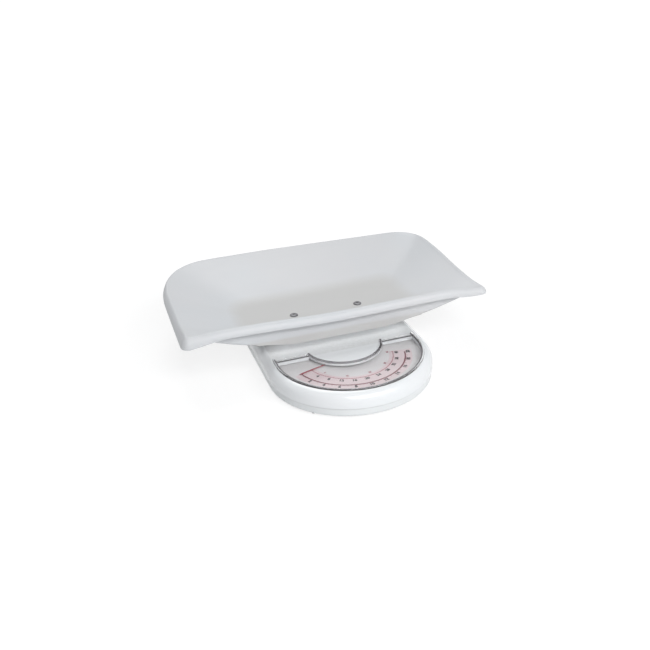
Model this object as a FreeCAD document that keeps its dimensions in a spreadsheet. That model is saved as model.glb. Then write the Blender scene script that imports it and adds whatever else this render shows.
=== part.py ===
import FreeCAD, Part
import math
import os
import re

import Sketcher
from FreeCAD import Placement, Rotation, Vector

# A mechanical baby scale: a long weighing tray on a carrier plate, carried by
# knife-edge levers in a D-shaped base, with a half-round dial at the front.
# Millimetres. The origin is on the table, under the middle of the whole scale.
# +X runs along the tray, +Y to the back and +Z up. Distances along Y are taken
# from the line of the two tray screws.

SIZES = {
    # tray
    "tray_length": (550, "outer edge to outer edge of the lip, along X"),
    "tray_front": (97, "screw line to the front of the lip"),
    "tray_rear": (235, "screw line to the back of the lip"),
    "tray_wall": (3, "wall of the moulding"),
    "rim_height": (111, "crest of the rim at the front, above the table"),
    "rim_rise": (6, "how much higher the rear crest is"),
    "lip_reach": (11, "crest to the outer edge of the lip"),
    "lip_drop": (14, "crest to the lower edge of the lip"),
    "rear_corner": (98, "corner radius of the lip at the back"),
    "front_corner": (26, "corner radius of the lip at the front"),
    "floor_height": (73, "top of the tray floor above the table"),
    "floor_length": (280, "flat part of the floor, along X"),
    "floor_front": (83, "screw line to the front of the flat floor"),
    "floor_rear": (72, "screw line to the back of the flat floor"),
    "skirt_depth": (8, "skirt below the floor's underside"),
    "skirt_rear": (92, "screw line to the back of the skirt"),
    "floor_corner": (25, "corner radius of the flat floor"),
    "skirt_reach": (24, "flat floor to the end of the skirt, along X"),
    "skirt_corner": (12, "corner radius of the skirt"),
    "screw_spacing": (120, "between the two tray screws"),
    "screw_line": (11.2, "origin to the line of the two tray screws"),
    "tray_bolt": (3, "radius of the tray screws"),
    "bolt_head": (6.5, "radius of their heads"),
    "head_height": (2.8, "their heads, upright"),
    "bolt_end": (6, "below the carrier plate to the end of a tray screw"),
    "washer_radius": (7.2, "washers under the heads"),
    "washer_thick": (1, "washers under the heads"),
    "nut_corner": (5.8, "middle of a nut to its corners"),
    "nut_height": (5, "nuts under the carrier plate"),
    # base
    "base_radius": (141.5, "front of the base, round the dial's axis"),
    "base_rear": (130, "screw line to the back of the base"),
    "base_corner": (30, "corner radius at the back of the base"),
    "dial_forward": (116, "screw line to the dial's axis"),
    "foot_height": (3, "rubber foot below the pan"),
    "pan_wall": (2.5, "wall and floor of the pan"),
    "pan_rim": (18, "height of the parting line"),
    "pan_round": (4, "round of the pan's lower edge"),
    "pan_inset": (1.5, "pan inside the cover's outline"),
    "cover_wall": (2.5, "wall of the cover"),
    "cover_top": (43, "top of the cover above the table"),
    "cover_round": (15, "round of the cover's upper edge"),
    "case_inset": (9, "outline of the base to the housing screws"),
    "case_side": (40, "screw line to the housing screws at the sides"),
    "case_rear": (60, "middle to the housing screws at the back"),
    "case_screw": (1.5, "shank radius of the housing screws"),
    "case_head": (3.5, "head radius of the housing screws"),
    "case_grip": (16, "housing screws above the pan's floor"),
    "case_sink": (2, "heads of the housing screws below the pan"),
    "boss_radius": (4, "screw bosses and posts"),
    "boss_drop": (7, "top of the cover to the top of its bosses"),
    "foot_radius": (9, "rubber feet"),
    "foot_stem": (3, "stems of the feet"),
    "foot_side": (29.5, "outline of the base to the rear feet, along X"),
    "foot_back": (34, "outline of the base to the rear feet, along Y"),
    "collar_wall": (2, "wall of the collars round the leg holes"),
    "collar_height": (1.5, "collars above the cover"),
    # dial window
    "rim_width": (16.5, "outline of the base to the window"),
    "hub_radius": (66, "half disc of cover that the window bends round"),
    "hub_back": (29.3, "dial's axis to the centre of that disc"),
    "window_back": (13.5, "dial's axis to the straight edges of the window"),
    "window_wall": (2.5, "wall round the window"),
    "wall_gap": (1.4, "dial plate to the lower edge of that wall"),
    "lens_ledge": (1.5, "ledge that the lens rests on"),
    "lens_thick": (2, "clear lens"),
    "bead_width": (4, "raised bead round the lens"),
    "bead_height": (1.6, "bead above the cover"),
    "tab_length": (6, "ends of the bead past the straight edges"),
    "plate_depth": (9, "dial plate below the top of the cover"),
    "plate_thick": (1.5, "dial plate"),
    "pointer_slot": (4, "gap that the pointer sweeps through"),
    "pointer_length": (101, "dial's axis to the pointer's tip"),
    "pointer_zero": (197.5, "direction of the pointer at no load, in degrees from +X"),
    "plate_margin": (2, "dial plate past the window"),
    "plate_back": (12, "straight edges of the window to the back of the dial plate"),
    "dial_screw_x": (75, "middle to the screws of the dial plate"),
    "dial_screw_back": (7.5, "straight edges of the window to the line of those screws"),
    "dial_screw": (1.2, "shank radius of those screws"),
    "dial_head": (3, "head radius of those screws"),
    "blade_rise": (1.6, "dial plate to the underside of the pointer"),
    "blade_thick": (0.8, "pointer"),
    "blade_half": (4, "half width of the pointer at the spindle"),
    "blade_neck": (0.8, "half width of the pointer where it leaves the hub disc"),
    "blade_end": (1.3, "half width of the pointer before its tip"),
    "blade_tail": (12, "pointer behind the spindle"),
    "pointer_hub": (6, "radius of the pointer's hub"),
    # weighing mechanism
    "sheet_thick": (1.5, "pressed brackets"),
    "bracket_screw": (1.4, "shank radius of the bracket screws"),
    "bracket_head": (2.8, "head radius of the bracket screws"),
    "small_head": (1.8, "height of the small screw heads"),
    "load_arm": (40, "fulcrum to load point on every lever"),
    "post_inset": (33.5, "outline of the base to the fulcrum posts"),
    "post_back": (24, "back of the base to the rear fulcrums"),
    "fulcrum_front": (75, "screw line to the front fulcrums"),
    "fulcrum_height": (22, "axis of the fulcrums"),
    "post_width": (14, "flange of a fulcrum post, along Y"),
    "post_wall": (3, "upright of a fulcrum post"),
    "post_outer": (9, "fulcrum line to the outer face of the upright"),
    "knife_radius": (2, "hardened fulcrum rods"),
    "knife_end": (12, "fulcrum line to the end of the rods"),
    "bar_thick": (3, "lever bars, across"),
    "bar_height": (8, "lever bars, upright"),
    "bar_base": (16.4, "underside of the lever bars"),
    "nose_forward": (90, "screw line to the nose of the long lever"),
    "nose_half": (7, "half width of the nose"),
    "nose_lip": (2.8, "lip of the nose that presses on the crank"),
    "nose_relief": (5.4, "long lever cut away below, over the crank"),
    "crank_back": (71.4, "screw line to the crank's pivot"),
    "crank_height": (11.2, "axis of the crank's pivot"),
    "crank_arm": (17, "both arms of the crank"),
    "crank_tilt": (13.1, "half of the crank's swing, in degrees"),
    "crank_half": (11, "half width of the crank"),
    "crank_web": (1.2, "plate of the crank"),
    "crank_hub": (3, "hub of the crank"),
    "roll_radius": (1, "rolled edges of the crank"),
    "ear_gap": (2, "crank to each ear of its bracket"),
    "ear_thick": (2, "ears of the crank's bracket"),
    "pin_radius": (1.5, "crank pin, spindle"),
    "bracket_half": (32, "half width of the movement bracket"),
    "bracket_front": (22, "dial's axis to the front of the movement bracket"),
    "bracket_screw_x": (24, "middle to the screws of the movement bracket"),
    "bridge_half": (12, "half width of the spindle bridge"),
    "bridge_front": (14, "dial's axis to the front of the bridge"),
    "bridge_back": (15, "dial's axis to the back of the bridge"),
    "deck_gap": (2.5, "deck of the bridge to the rack"),
    "gear_module": (0.5, "pinion and rack"),
    "pinion_teeth": (12, "teeth on the pinion"),
    "rack_height": (4, "rack bar, upright"),
    "rack_base": (26, "underside of the rack"),
    "rack_side": (10, "dial's axis to the smooth side of the rack"),
    "spring_offset": (8, "main spring and zero screw, beside the middle"),
    "spring_radius": (3.5, "main spring, to the middle of its wire"),
    "spring_wire": (1, "wire of the main spring"),
    "spring_length": (70, "main spring at no load"),
    "hook_radius": (1.8, "ring of the main spring round the crank's roll"),
    "light_wire": (0.4, "wire of the rack spring"),
    "light_radius": (1.5, "rack spring, to the middle of its wire"),
    "light_offset": (6.5, "rack spring beside the middle"),
    "block_half": (5, "half width of the spring block"),
    "block_length": (8, "spring block"),
    "block_high": (6, "half height of the spring block"),
    "collar_length": (2, "collars of the zero screw"),
    "collar_step": (1.5, "collars outside the zero screw"),
    "zero_wall": (2, "upright of the zero bracket"),
    "zero_back": (16, "back of the base to the zero bracket's upright"),
    "screw_rod": (2, "radius of the zero screw"),
    "knob_radius": (10.5, "zero knob"),
    "knob_length": (10, "zero knob"),
    "knob_gap": (1, "back of the base to the zero knob"),
    # carrier
    "carrier_thick": (4, "plate under the tray"),
    "carrier_front": (11, "front of the flat floor to the front of the plate"),
    "carrier_rear": (5, "back of the skirt to the back of the plate"),
    "carrier_side": (24, "legs to the ends of the plate"),
    "leg_inset": (0.612, "middle of the long lever's arms to the legs, along X"),
    "leg_radius": (5, "carrier legs"),
    "leg_spigot": (3, "ends of the legs in the plate"),
    "leg_tip": (1.5, "blunt points of the legs"),
    # clearances
    "seat_gap": (0.3, "between pieces that rest on each other but move apart"),
    "running": (0.05, "radial clearance of a shaft in its hole"),
    "hole_room": (2, "round each carrier leg in the cover"),
    "ease": (0.25, "round a bolt in its hole"),
    "over": (1, "how far a cutting tool passes the face it leaves by"),
}

DOC = FreeCAD.newDocument("baby_scale")
SHEET = DOC.addObject("Spreadsheet::Sheet", "dims")


def fill_sheet():
    """Write every size to the sheet as a plain number with an alias."""
    for row, (name, (value, note)) in enumerate(SIZES.items(), start=1):
        SHEET.set(f"A{row}", name)
        SHEET.set(f"B{row}", str(value))
        SHEET.set(f"C{row}", note)
        SHEET.setAlias(f"B{row}", name)
    DOC.recompute()


def bound(text):
    """Return the expression with each size name pointing at the sheet."""
    def point(word):
        return f"dims.{word[0]}" if word[0] in SIZES else word[0]
    return re.sub(r"[a-z_]+", point, str(text))


def number(text):
    """Return what the expression comes to now."""
    value = SHEET.evalExpression(bound(text))
    return float(getattr(value, "Value", value))


# Places that several pieces share.
DIAL_Y = "(screw_line - dial_forward)"
HUB_Y = f"({DIAL_Y} + hub_back)"
WINDOW_BACK_Y = f"({DIAL_Y} + window_back)"
BASE_REAR_Y = "(screw_line + base_rear)"
WINDOW_RADIUS = "(base_radius - rim_width)"
PAN_FLOOR = "(foot_height + pan_wall)"
PLATE_TOP = "(cover_top - plate_depth)"
COVER_UNDER = "(cover_top - cover_wall)"
LENS_BASE = "(cover_top - lens_thick)"
FULCRUM_X = "(base_radius - post_inset)"
FULCRUM_REAR_Y = f"({BASE_REAR_Y} - post_back)"
FULCRUM_FRONT_Y = "(screw_line - fulcrum_front)"
LOAD_REAR_Y = f"({FULCRUM_REAR_Y} - load_arm)"
LOAD_FRONT_Y = f"({FULCRUM_FRONT_Y} + load_arm)"
LINK_Y = f"(({FULCRUM_REAR_Y} + {FULCRUM_FRONT_Y}) / 2)"
NOSE_Y = "(screw_line - nose_forward)"
CRANK_Y = "(screw_line - crank_back)"
BAR_TOP = "(bar_base + bar_height)"
FLOOR_UNDER = "(floor_height - tray_wall)"
ARM_SLOPE = f"(({FULCRUM_X} - nose_half) / ({FULCRUM_REAR_Y} - {NOSE_Y}))"
LEG_X = f"(nose_half + {ARM_SLOPE} * ({LOAD_REAR_Y} - {NOSE_Y}) + leg_inset)"
CARRIER_BASE = f"({FLOOR_UNDER} - carrier_thick)"
TIP_HEIGHT = "(crank_height + crank_arm * cos(crank_tilt))"
TIP_BACK = "(crank_arm * sin(crank_tilt))"
PITCH_RADIUS = "(gear_module * pinion_teeth / 2)"
BRACKET_TOP = f"({PAN_FLOOR} + sheet_thick)"
SPRING_FRONT_Y = f"({CRANK_Y} + {TIP_BACK} + 3)"
ZERO_WALL_Y = f"({BASE_REAR_Y} - zero_back)"
BLOCK_Y = f"({SPRING_FRONT_Y} + spring_length)"


# Gear teeth: root below the pitch line in modules, and rack teeth before the spindle.
ROOT_DEPTH = 1.25
RACK_LEAD = 4

# Ridges round the zero knob.
KNOB_RIDGES = 16

# --- Part primitives and booleans bound to the sheet -----------------------

def bind(piece, **formulas):
    """Bind properties of a piece; double underscores stand for dots."""
    for name, text in formulas.items():
        piece.setExpression(name.replace("__", "."), bound(text))


def put(piece, x, y, z, turn=None):
    """Place a piece by three expressions, after turning it."""
    if turn:
        piece.Placement = Placement(Vector(), turn)
    bind(piece, Placement__Base__x=x, Placement__Base__y=y, Placement__Base__z=z)
    return piece


def box(x, y, z):
    """Box between pairs of expressions."""
    piece = DOC.addObject("Part::Box", "box")
    length, width, height = (f"({high}) - ({low})" for low, high in (x, y, z))
    bind(piece, Length=length, Width=width, Height=height)
    return put(piece, x[0], y[0], z[0])


def rod(axis, radius, span, at):
    """Cylinder along an axis; at gives the two other coordinates in X, Y, Z order."""
    piece = DOC.addObject("Part::Cylinder", "rod")
    bind(piece, Radius=radius, Height=f"({span[1]}) - ({span[0]})")
    if axis == "x":
        return put(piece, span[0], at[0], at[1], Rotation(Vector(0, 1, 0), 90))
    if axis == "y":
        return put(piece, at[0], span[0], at[1], Rotation(Vector(1, 0, 0), -90))
    return put(piece, at[0], at[1], span[0])


def join(*pieces, label="joined"):
    """Fuse pieces into one."""
    piece = DOC.addObject("Part::MultiFuse", label)
    piece.Shapes = list(pieces)
    piece.Refine = True
    return piece


def cut(base, *tools, label="cut"):
    """Take tools away from a base."""
    piece = DOC.addObject("Part::Cut", label)
    piece.Base = base
    piece.Tool = tools[0] if len(tools) == 1 else join(*tools)
    piece.Refine = True
    return piece


def common(first, second, label="common"):
    """Keep what two pieces share."""
    piece = DOC.addObject("Part::Common", label)
    piece.Base = first
    piece.Tool = second
    piece.Refine = True
    return piece


def group(*pieces, label):
    """Several separate solids in one node."""
    piece = DOC.addObject("Part::Compound", label)
    piece.Links = list(pieces)
    return piece


def round_edges(base, radius, wanted):
    """Round the edges of a base that the test picks."""
    DOC.recompute()
    piece = DOC.addObject("Part::Fillet", "rounded")
    piece.Base = base
    size = number(radius)
    piece.Edges = [(i, size, size) for i, edge in enumerate(base.Shape.Edges, start=1) if wanted(edge)]
    return piece


def at_height(height):
    """Test for edges that lie wholly at one height."""
    level = number(height)
    return lambda edge: abs(edge.BoundBox.ZMin - level) < 1e-4 and abs(edge.BoundBox.ZMax - level) < 1e-4


def sided(side, low, high):
    """Span on the right (+1) or its mirror on the left (-1)."""
    return (low, high) if side > 0 else (f"-({high})", f"-({low})")


# --- PartDesign bodies bound to the sheet ----------------------------------

def body_sketch(body, role, offset="0"):
    """Sketch on one of the body's origin planes, raised by an expression."""
    plane = next(item for item in body.Origin.OriginFeatures if item.Role == role)
    sketch = body.newObject("Sketcher::SketchObject", "sketch")
    sketch.AttachmentSupport = [(plane, "")]
    sketch.MapMode = "FlatFace"
    bind(sketch, AttachmentOffset__Base__z=offset)
    return sketch


def draw_outline(sketch, corners):
    """Closed outline through corners, each held by two expressions."""
    spots = [Vector(number(x), number(y), 0) for x, y in corners]
    count = len(spots)
    for i, spot in enumerate(spots):
        sketch.addGeometry(Part.LineSegment(spot, spots[(i + 1) % count]))
    for i in range(count):
        sketch.addConstraint(Sketcher.Constraint("Coincident", i, 2, (i + 1) % count, 1))
    for i, (x, y) in enumerate(corners):
        for kind, value, text in (("DistanceX", spots[i].x, x), ("DistanceY", spots[i].y, y)):
            index = sketch.addConstraint(Sketcher.Constraint(kind, -1, 1, i, 1, value))
            name = f"{kind.lower()}_{i}"
            sketch.renameConstraint(index, name)
            sketch.setExpression(f"Constraints.{name}", bound(text))


def padded(label, role, offset, corners, length):
    """Body with one outline padded."""
    body = DOC.addObject("PartDesign::Body", label)
    sketch = body_sketch(body, role, offset)
    draw_outline(sketch, corners)
    pad = body.newObject("PartDesign::Pad", "pad")
    pad.Profile = sketch
    bind(pad, Length=length)
    return body


def turned(label, corners, x="0", y="0"):
    """Body revolved about a vertical axis through x, y; corners are (radius, height)."""
    body = DOC.addObject("PartDesign::Body", label)
    sketch = body_sketch(body, "XZ_Plane")
    draw_outline(sketch, corners)
    turn = body.newObject("PartDesign::Revolution", "turn")
    turn.Profile = sketch
    turn.ReferenceAxis = (sketch, ["V_Axis"])
    turn.Angle = 360
    bind(body, Placement__Base__x=x, Placement__Base__y=y)
    return body


# --- Shared outlines of the base and the window -----------------------------

def base_block(inset, span):
    """D-shaped block: half round at the front, square with rounded corners at the back."""
    radius = f"(base_radius - ({inset}))"
    corner = f"(base_corner - ({inset}))"
    rear = f"({BASE_REAR_Y} - ({inset}))"
    flat = f"({radius} - {corner})"
    return join(
        rod("z", radius, span, ("0", DIAL_Y)),
        box((f"-{radius}", radius), (DIAL_Y, f"{rear} - {corner}"), span),
        box((f"-{flat}", flat), (DIAL_Y, rear), span),
        rod("z", corner, span, (flat, f"{rear} - {corner}")),
        rod("z", corner, span, (f"-{flat}", f"{rear} - {corner}")),
    )


def dial_block(radius, back, span):
    """Block round the dial's axis: half disc in front, straight sides to the line at back."""
    disc = rod("z", radius, span, ("0", DIAL_Y))
    sides = box((f"-{radius}", radius), (DIAL_Y, f"{DIAL_Y} + {radius}"), span)
    kept = box((f"-{radius} - 1", f"{radius} + 1"), (f"{DIAL_Y} - {radius} - 1", back), span)
    return common(join(disc, sides), kept)


def window_block(grow, span):
    """Block over the window, less the hub, larger all round by grow."""
    whole = dial_block(f"({WINDOW_RADIUS} + ({grow}))", f"{WINDOW_BACK_Y} + ({grow})", span)
    return cut(whole, rod("z", f"hub_radius - ({grow})", span, ("0", HUB_Y)))


def cover_screw_places():
    """Six screws round the base, a little inside the outline."""
    ring = "(base_radius - case_inset)"
    rear = f"({BASE_REAR_Y} - case_inset)"
    side = "(screw_line - case_side)"
    return (
        (ring, side), (f"-{ring}", side), ("case_rear", rear), ("-case_rear", rear),
        (f"{ring} * cos(45)", f"{DIAL_Y} - {ring} * sin(45)"),
        (f"-{ring} * cos(45)", f"{DIAL_Y} - {ring} * sin(45)"),
    )


def foot_places():
    """Four feet near the corners of the base."""
    rear_x = "(base_radius - foot_side)"
    rear_y = f"({BASE_REAR_Y} - foot_back)"
    front_x = "(base_radius * 0.56)"
    front_y = f"({DIAL_Y} - base_radius * 0.6)"
    return (
        (rear_x, rear_y), (f"-{rear_x}", rear_y),
        (front_x, front_y), (f"-{front_x}", front_y),
    )


def leg_places():
    """Load point of each lever: name, x and y."""
    return (
        ("rear_right", LEG_X, LOAD_REAR_Y), ("rear_left", f"-{LEG_X}", LOAD_REAR_Y),
        ("front_right", LEG_X, LOAD_FRONT_Y), ("front_left", f"-{LEG_X}", LOAD_FRONT_Y),
    )


def post_places():
    """Fulcrum posts: name, side and y."""
    return (
        ("rear_post_right", 1, FULCRUM_REAR_Y), ("rear_post_left", -1, FULCRUM_REAR_Y),
        ("front_post_right", 1, FULCRUM_FRONT_Y), ("front_post_left", -1, FULCRUM_FRONT_Y),
    )


def post_screw_x(side):
    """A post's screw stands inboard of its upright."""
    return f"({FULCRUM_X} - 4)" if side > 0 else f"-({FULCRUM_X} - 4)"


def bracket_screw_places():
    """Screws of the movement bracket and of the zero bracket."""
    return (
        ("-bracket_screw_x", f"{CRANK_Y} + 8"), ("bracket_screw_x", f"{CRANK_Y} + 8"),
        ("-bracket_screw_x", f"{DIAL_Y} - 8"), ("bracket_screw_x", f"{DIAL_Y} - 8"),
        ("spring_offset + 12", f"{ZERO_WALL_Y} - 12"),
    )


def dial_screw_places():
    """Screws of the dial plate, hidden behind the window's straight edges."""
    line = f"({WINDOW_BACK_Y} + dial_screw_back)"
    return (("dial_screw_x", line), ("-dial_screw_x", line))


def tray_screw_places():
    """The two screws through the tray's floor."""
    return (("screw_spacing / 2", "screw_line"), ("-screw_spacing / 2", "screw_line"))


# --- Base --------------------------------------------------------------------

def make_base_pan():
    """Lower tray of the base, with the posts that carry the dial plate."""
    block = base_block("pan_inset", ("foot_height", "pan_rim"))
    outer = round_edges(block, "pan_round", at_height("foot_height"))
    shell = cut(outer, base_block("pan_inset + pan_wall", (PAN_FLOOR, "pan_rim + over")))
    plate_under = f"({PLATE_TOP} - plate_thick)"
    post_places_xy = [*dial_screw_places(), ("0", f"{DIAL_Y} - {WINDOW_RADIUS} + boss_radius + 1")]
    posts = [rod("z", "boss_radius", (PAN_FLOOR, plate_under), place) for place in post_places_xy]
    rail = box(
        ("spring_offset - block_half + 2", "spring_offset + block_half - 2"),
        (f"{BLOCK_Y} - 4", f"{BLOCK_Y} + block_length + 6"),
        (PAN_FLOOR, f"{TIP_HEIGHT} - block_high - seat_gap"),
    )
    through = ("0", f"{PAN_FLOOR} + over")
    throughs = [rod("z", "foot_stem", through, place) for place in foot_places()]
    throughs += [rod("z", "case_screw + ease", through, place) for place in cover_screw_places()]
    post_screws = [(post_screw_x(side), y) for _, side, y in post_places()]
    pilots = [rod("z", "bracket_screw", through, place) for place in (*bracket_screw_places(), *post_screws)]
    blind = (f"{plate_under} - 8", f"{plate_under} + over")
    pilots += [rod("z", "dial_screw", blind, place) for place in dial_screw_places()]
    return cut(join(shell, rail, *posts), *throughs, *pilots, label="base_pan")


def make_top_cover():
    """Upper shell: rounded rim, dial window with its walls, leg holes and screw bosses."""
    block = base_block("0", ("pan_rim", "cover_top"))
    outer = round_edges(block, "cover_round", at_height("cover_top"))
    hollow = base_block("cover_wall", ("pan_rim - over", COVER_UNDER))
    cavity = round_edges(hollow, "cover_round - cover_wall", at_height(COVER_UNDER))
    wall = window_block("window_wall", (f"{PLATE_TOP} + wall_gap", "cover_top"))
    slot_span = (f"{PLATE_TOP} - over", f"{PLATE_TOP} + pointer_slot")
    slot = rod("z", "hub_radius + lens_ledge + 2", slot_span, ("0", HUB_Y))
    boss_span = (PAN_FLOOR, "cover_top - boss_drop")
    bosses = [rod("z", "boss_radius", boss_span, place) for place in cover_screw_places()]
    pilot_span = (f"{PAN_FLOOR} - over", f"{PAN_FLOOR} + case_grip + 2")
    pilots = [rod("z", "case_screw", pilot_span, place) for place in cover_screw_places()]
    hole = "leg_radius + hole_room"
    collar_span = (COVER_UNDER, "cover_top + collar_height")
    hole_span = (f"{COVER_UNDER} - over", "cover_top + collar_height + over")
    collars = [rod("z", f"{hole} + collar_wall", collar_span, (x, y)) for _, x, y in leg_places()]
    holes = [rod("z", hole, hole_span, (x, y)) for _, x, y in leg_places()]
    knob_span = (f"{BASE_REAR_Y} - base_corner / 2", f"{BASE_REAR_Y} + over")
    knob_hole = rod("y", "screw_rod + 4 * ease", knob_span, ("spring_offset", TIP_HEIGHT))
    solid = join(cut(outer, cavity), cut(wall, slot), *bosses, *collars)
    opening = window_block("-lens_ledge", (f"{PLATE_TOP} - over", "cover_top + over"))
    seat = window_block("0", (LENS_BASE, "cover_top + over"))
    return cut(solid, opening, seat, knob_hole, *holes, *pilots, label="top_cover")


def make_window_lens():
    """Clear lens with its raised bead and the bead's ends."""
    pane = window_block("-seat_gap / 2", (LENS_BASE, "cover_top"))
    bead_span = ("cover_top", "cover_top + bead_height")
    outer_grow = "bead_width / 2"
    bead = cut(window_block(outer_grow, bead_span), window_block("-bead_width / 2", bead_span))
    half = "bead_width / 2"
    tabs = []
    for side in (1, -1):
        edge = sided(side, f"{WINDOW_RADIUS} - {half}", f"{WINDOW_RADIUS} + {half}")
        tabs.append(box(edge, (f"{WINDOW_BACK_Y} - 1", f"{WINDOW_BACK_Y} + tab_length"), bead_span))
    return join(pane, bead, *tabs, label="window_lens")


def make_dial_plate():
    """Printed plate under the window, clear of the spindle."""
    span = (f"{PLATE_TOP} - plate_thick", PLATE_TOP)
    past = (f"{PLATE_TOP} - plate_thick - over", f"{PLATE_TOP} + over")
    radius = f"({WINDOW_RADIUS} + plate_margin)"
    sheet = dial_block(radius, f"{WINDOW_BACK_Y} + plate_back", span)
    holes = [rod("z", "dial_screw + ease", past, place) for place in dial_screw_places()]
    centre = rod("z", "pin_radius * 3", past, ("0", DIAL_Y))
    return cut(sheet, centre, *holes, label="dial_plate")


def screw(place, head_radius, head_span, shank_radius, shank_span):
    """Plain screw: head and shank on one upright axis."""
    return join(rod("z", head_radius, head_span, place), rod("z", shank_radius, shank_span, place))


def make_screws():
    """All fasteners of the base, each kind in its own node."""
    case_head = ("foot_height - case_sink", "foot_height")
    case_shank = ("foot_height", f"{PAN_FLOOR} + case_grip")
    case = [screw(place, "case_head", case_head, "case_screw", case_shank) for place in cover_screw_places()]
    group(*case, label="cover_screws")
    places = [*bracket_screw_places(), *[(post_screw_x(side), y) for _, side, y in post_places()]]
    bracket_head = (BRACKET_TOP, f"{BRACKET_TOP} + small_head")
    bracket_shank = ("foot_height", BRACKET_TOP)
    bracket = [screw(place, "bracket_head", bracket_head, "bracket_screw", bracket_shank) for place in places]
    group(*bracket, label="bracket_screws")
    dial_head = (PLATE_TOP, f"{PLATE_TOP} + small_head")
    dial_shank = (f"{PLATE_TOP} - plate_thick - 7", PLATE_TOP)
    dial = [screw(place, "dial_head", dial_head, "dial_screw", dial_shank) for place in dial_screw_places()]
    group(*dial, label="dial_screws")


def make_feet():
    """Push-in rubber feet, each its own node."""
    names = ("foot_rear_right", "foot_rear_left", "foot_front_right", "foot_front_left")
    top = f"{PAN_FLOOR} + over"
    for name, (x, y) in zip(names, foot_places()):
        turned(name, (
            ("0", "0"), ("foot_radius - 1", "0"), ("foot_radius", "1"), ("foot_radius", "foot_height"),
            ("foot_stem", "foot_height"), ("foot_stem", top), ("0", top),
        ), x, y)


# --- Levers --------------------------------------------------------------------

def make_posts():
    """Four pressed brackets with a notch that seats a fulcrum rod."""
    inner = f"{FULCRUM_X} - post_outer"
    outer = f"{FULCRUM_X} + post_outer"
    room = "(knife_radius + seat_gap)"
    mouth_span = ("fulcrum_height", "fulcrum_height + knife_radius + over")
    hole_span = (f"{PAN_FLOOR} - over", f"{BRACKET_TOP} + over")
    for name, side, y in post_places():
        along = (f"{y} - post_width / 2", f"{y} + post_width / 2")
        flange = box(sided(side, inner, outer), along, (PAN_FLOOR, BRACKET_TOP))
        across = sided(side, f"{outer} - post_wall", outer)
        upright = box(across, (f"{y} - 6", f"{y} + 6"), (PAN_FLOOR, "fulcrum_height + knife_radius"))
        wide = (f"{across[0]} - over", f"{across[1]} + over")
        seat = rod("x", room, wide, (y, "fulcrum_height"))
        mouth = box(wide, (f"{y} - {room}", f"{y} + {room}"), mouth_span)
        hole = rod("z", "bracket_screw", hole_span, (post_screw_x(side), y))
        cut(join(flange, upright), seat, mouth, hole, label=name)


def long_arm_x(y):
    """Middle of the long lever's right arm where it passes y."""
    return f"(nose_half + {ARM_SLOPE} * (({y}) - {NOSE_Y}))"


def make_long_lever():
    """V-shaped lever from the two rear fulcrums to the nose over the crank."""
    half = "bar_thick / 2"
    back = f"{FULCRUM_REAR_Y} + 5"
    web = f"{NOSE_Y} + 14"
    end = long_arm_x(back)
    corners = (
        (f"-{end} - {half}", back), (f"-{end} + {half}", back),
        (f"-{long_arm_x(web)} + {half}", web), (f"{long_arm_x(web)} - {half}", web),
        (f"{end} - {half}", back), (f"{end} + {half}", back),
        (f"nose_half + {half}", NOSE_Y), (f"-nose_half - {half}", NOSE_Y),
    )
    blank = padded("long_blank", "XY_Plane", "bar_base", corners, "bar_height")
    reach = f"{FULCRUM_X} + knife_end"
    hole = rod("x", "knife_radius", (f"-({reach})", reach), (FULCRUM_REAR_Y, "fulcrum_height"))
    wide = f"{long_arm_x(CRANK_Y)} + 10"
    low = ("bar_base - over", "bar_base + nose_relief")
    relief = box((f"-({wide})", wide), (f"{NOSE_Y} + nose_lip", f"{CRANK_Y} + 6"), low)
    cut(blank, hole, relief, label="long_lever")
    knife = rod("x", "knife_radius", (f"-({reach})", reach), (FULCRUM_REAR_Y, "fulcrum_height"))
    knife.Label = "rear_knife_rod"


def make_short_levers():
    """Two short bars from the front fulcrums that press on the long lever's arms."""
    half = "bar_thick / 2"
    front = f"{FULCRUM_FRONT_Y} - 5"
    back = f"{LINK_Y} + 2"
    for side, name in ((1, "right"), (-1, "left")):
        sign = "" if side > 0 else "-"
        end = f"({long_arm_x(LINK_Y)} + bar_thick + 2)"
        corners = (
            (f"{sign}({FULCRUM_X} - {half})", front), (f"{sign}({FULCRUM_X} + {half})", front),
            (f"{sign}({end} + {half})", back), (f"{sign}({end} - {half})", back),
        )
        bar = padded(f"short_blank_{name}", "XY_Plane", "bar_base", corners, "bar_height")
        rise = (f"{BAR_TOP} - 1", f"{BAR_TOP} + 3")
        riser = box(sided(side, f"{end} - {half}", f"{end} + {half}"), (f"{LINK_Y} - 2", back), rise)
        finger = box(
            sided(side, f"{end} - bar_thick * 3", f"{end} + {half}"), (f"{LINK_Y} - 2", back),
            (f"{BAR_TOP} + seat_gap", rise[1]),
        )
        reach = sided(side, f"{FULCRUM_X} - 4", f"{FULCRUM_X} + knife_end")
        place = (FULCRUM_FRONT_Y, "fulcrum_height")
        cut(join(bar, riser, finger), rod("x", "knife_radius", reach, place), label=f"short_lever_{name}")
        knife = rod("x", "knife_radius", reach, place)
        knife.Label = f"front_knife_rod_{name}"


# --- Movement -------------------------------------------------------------------

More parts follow.
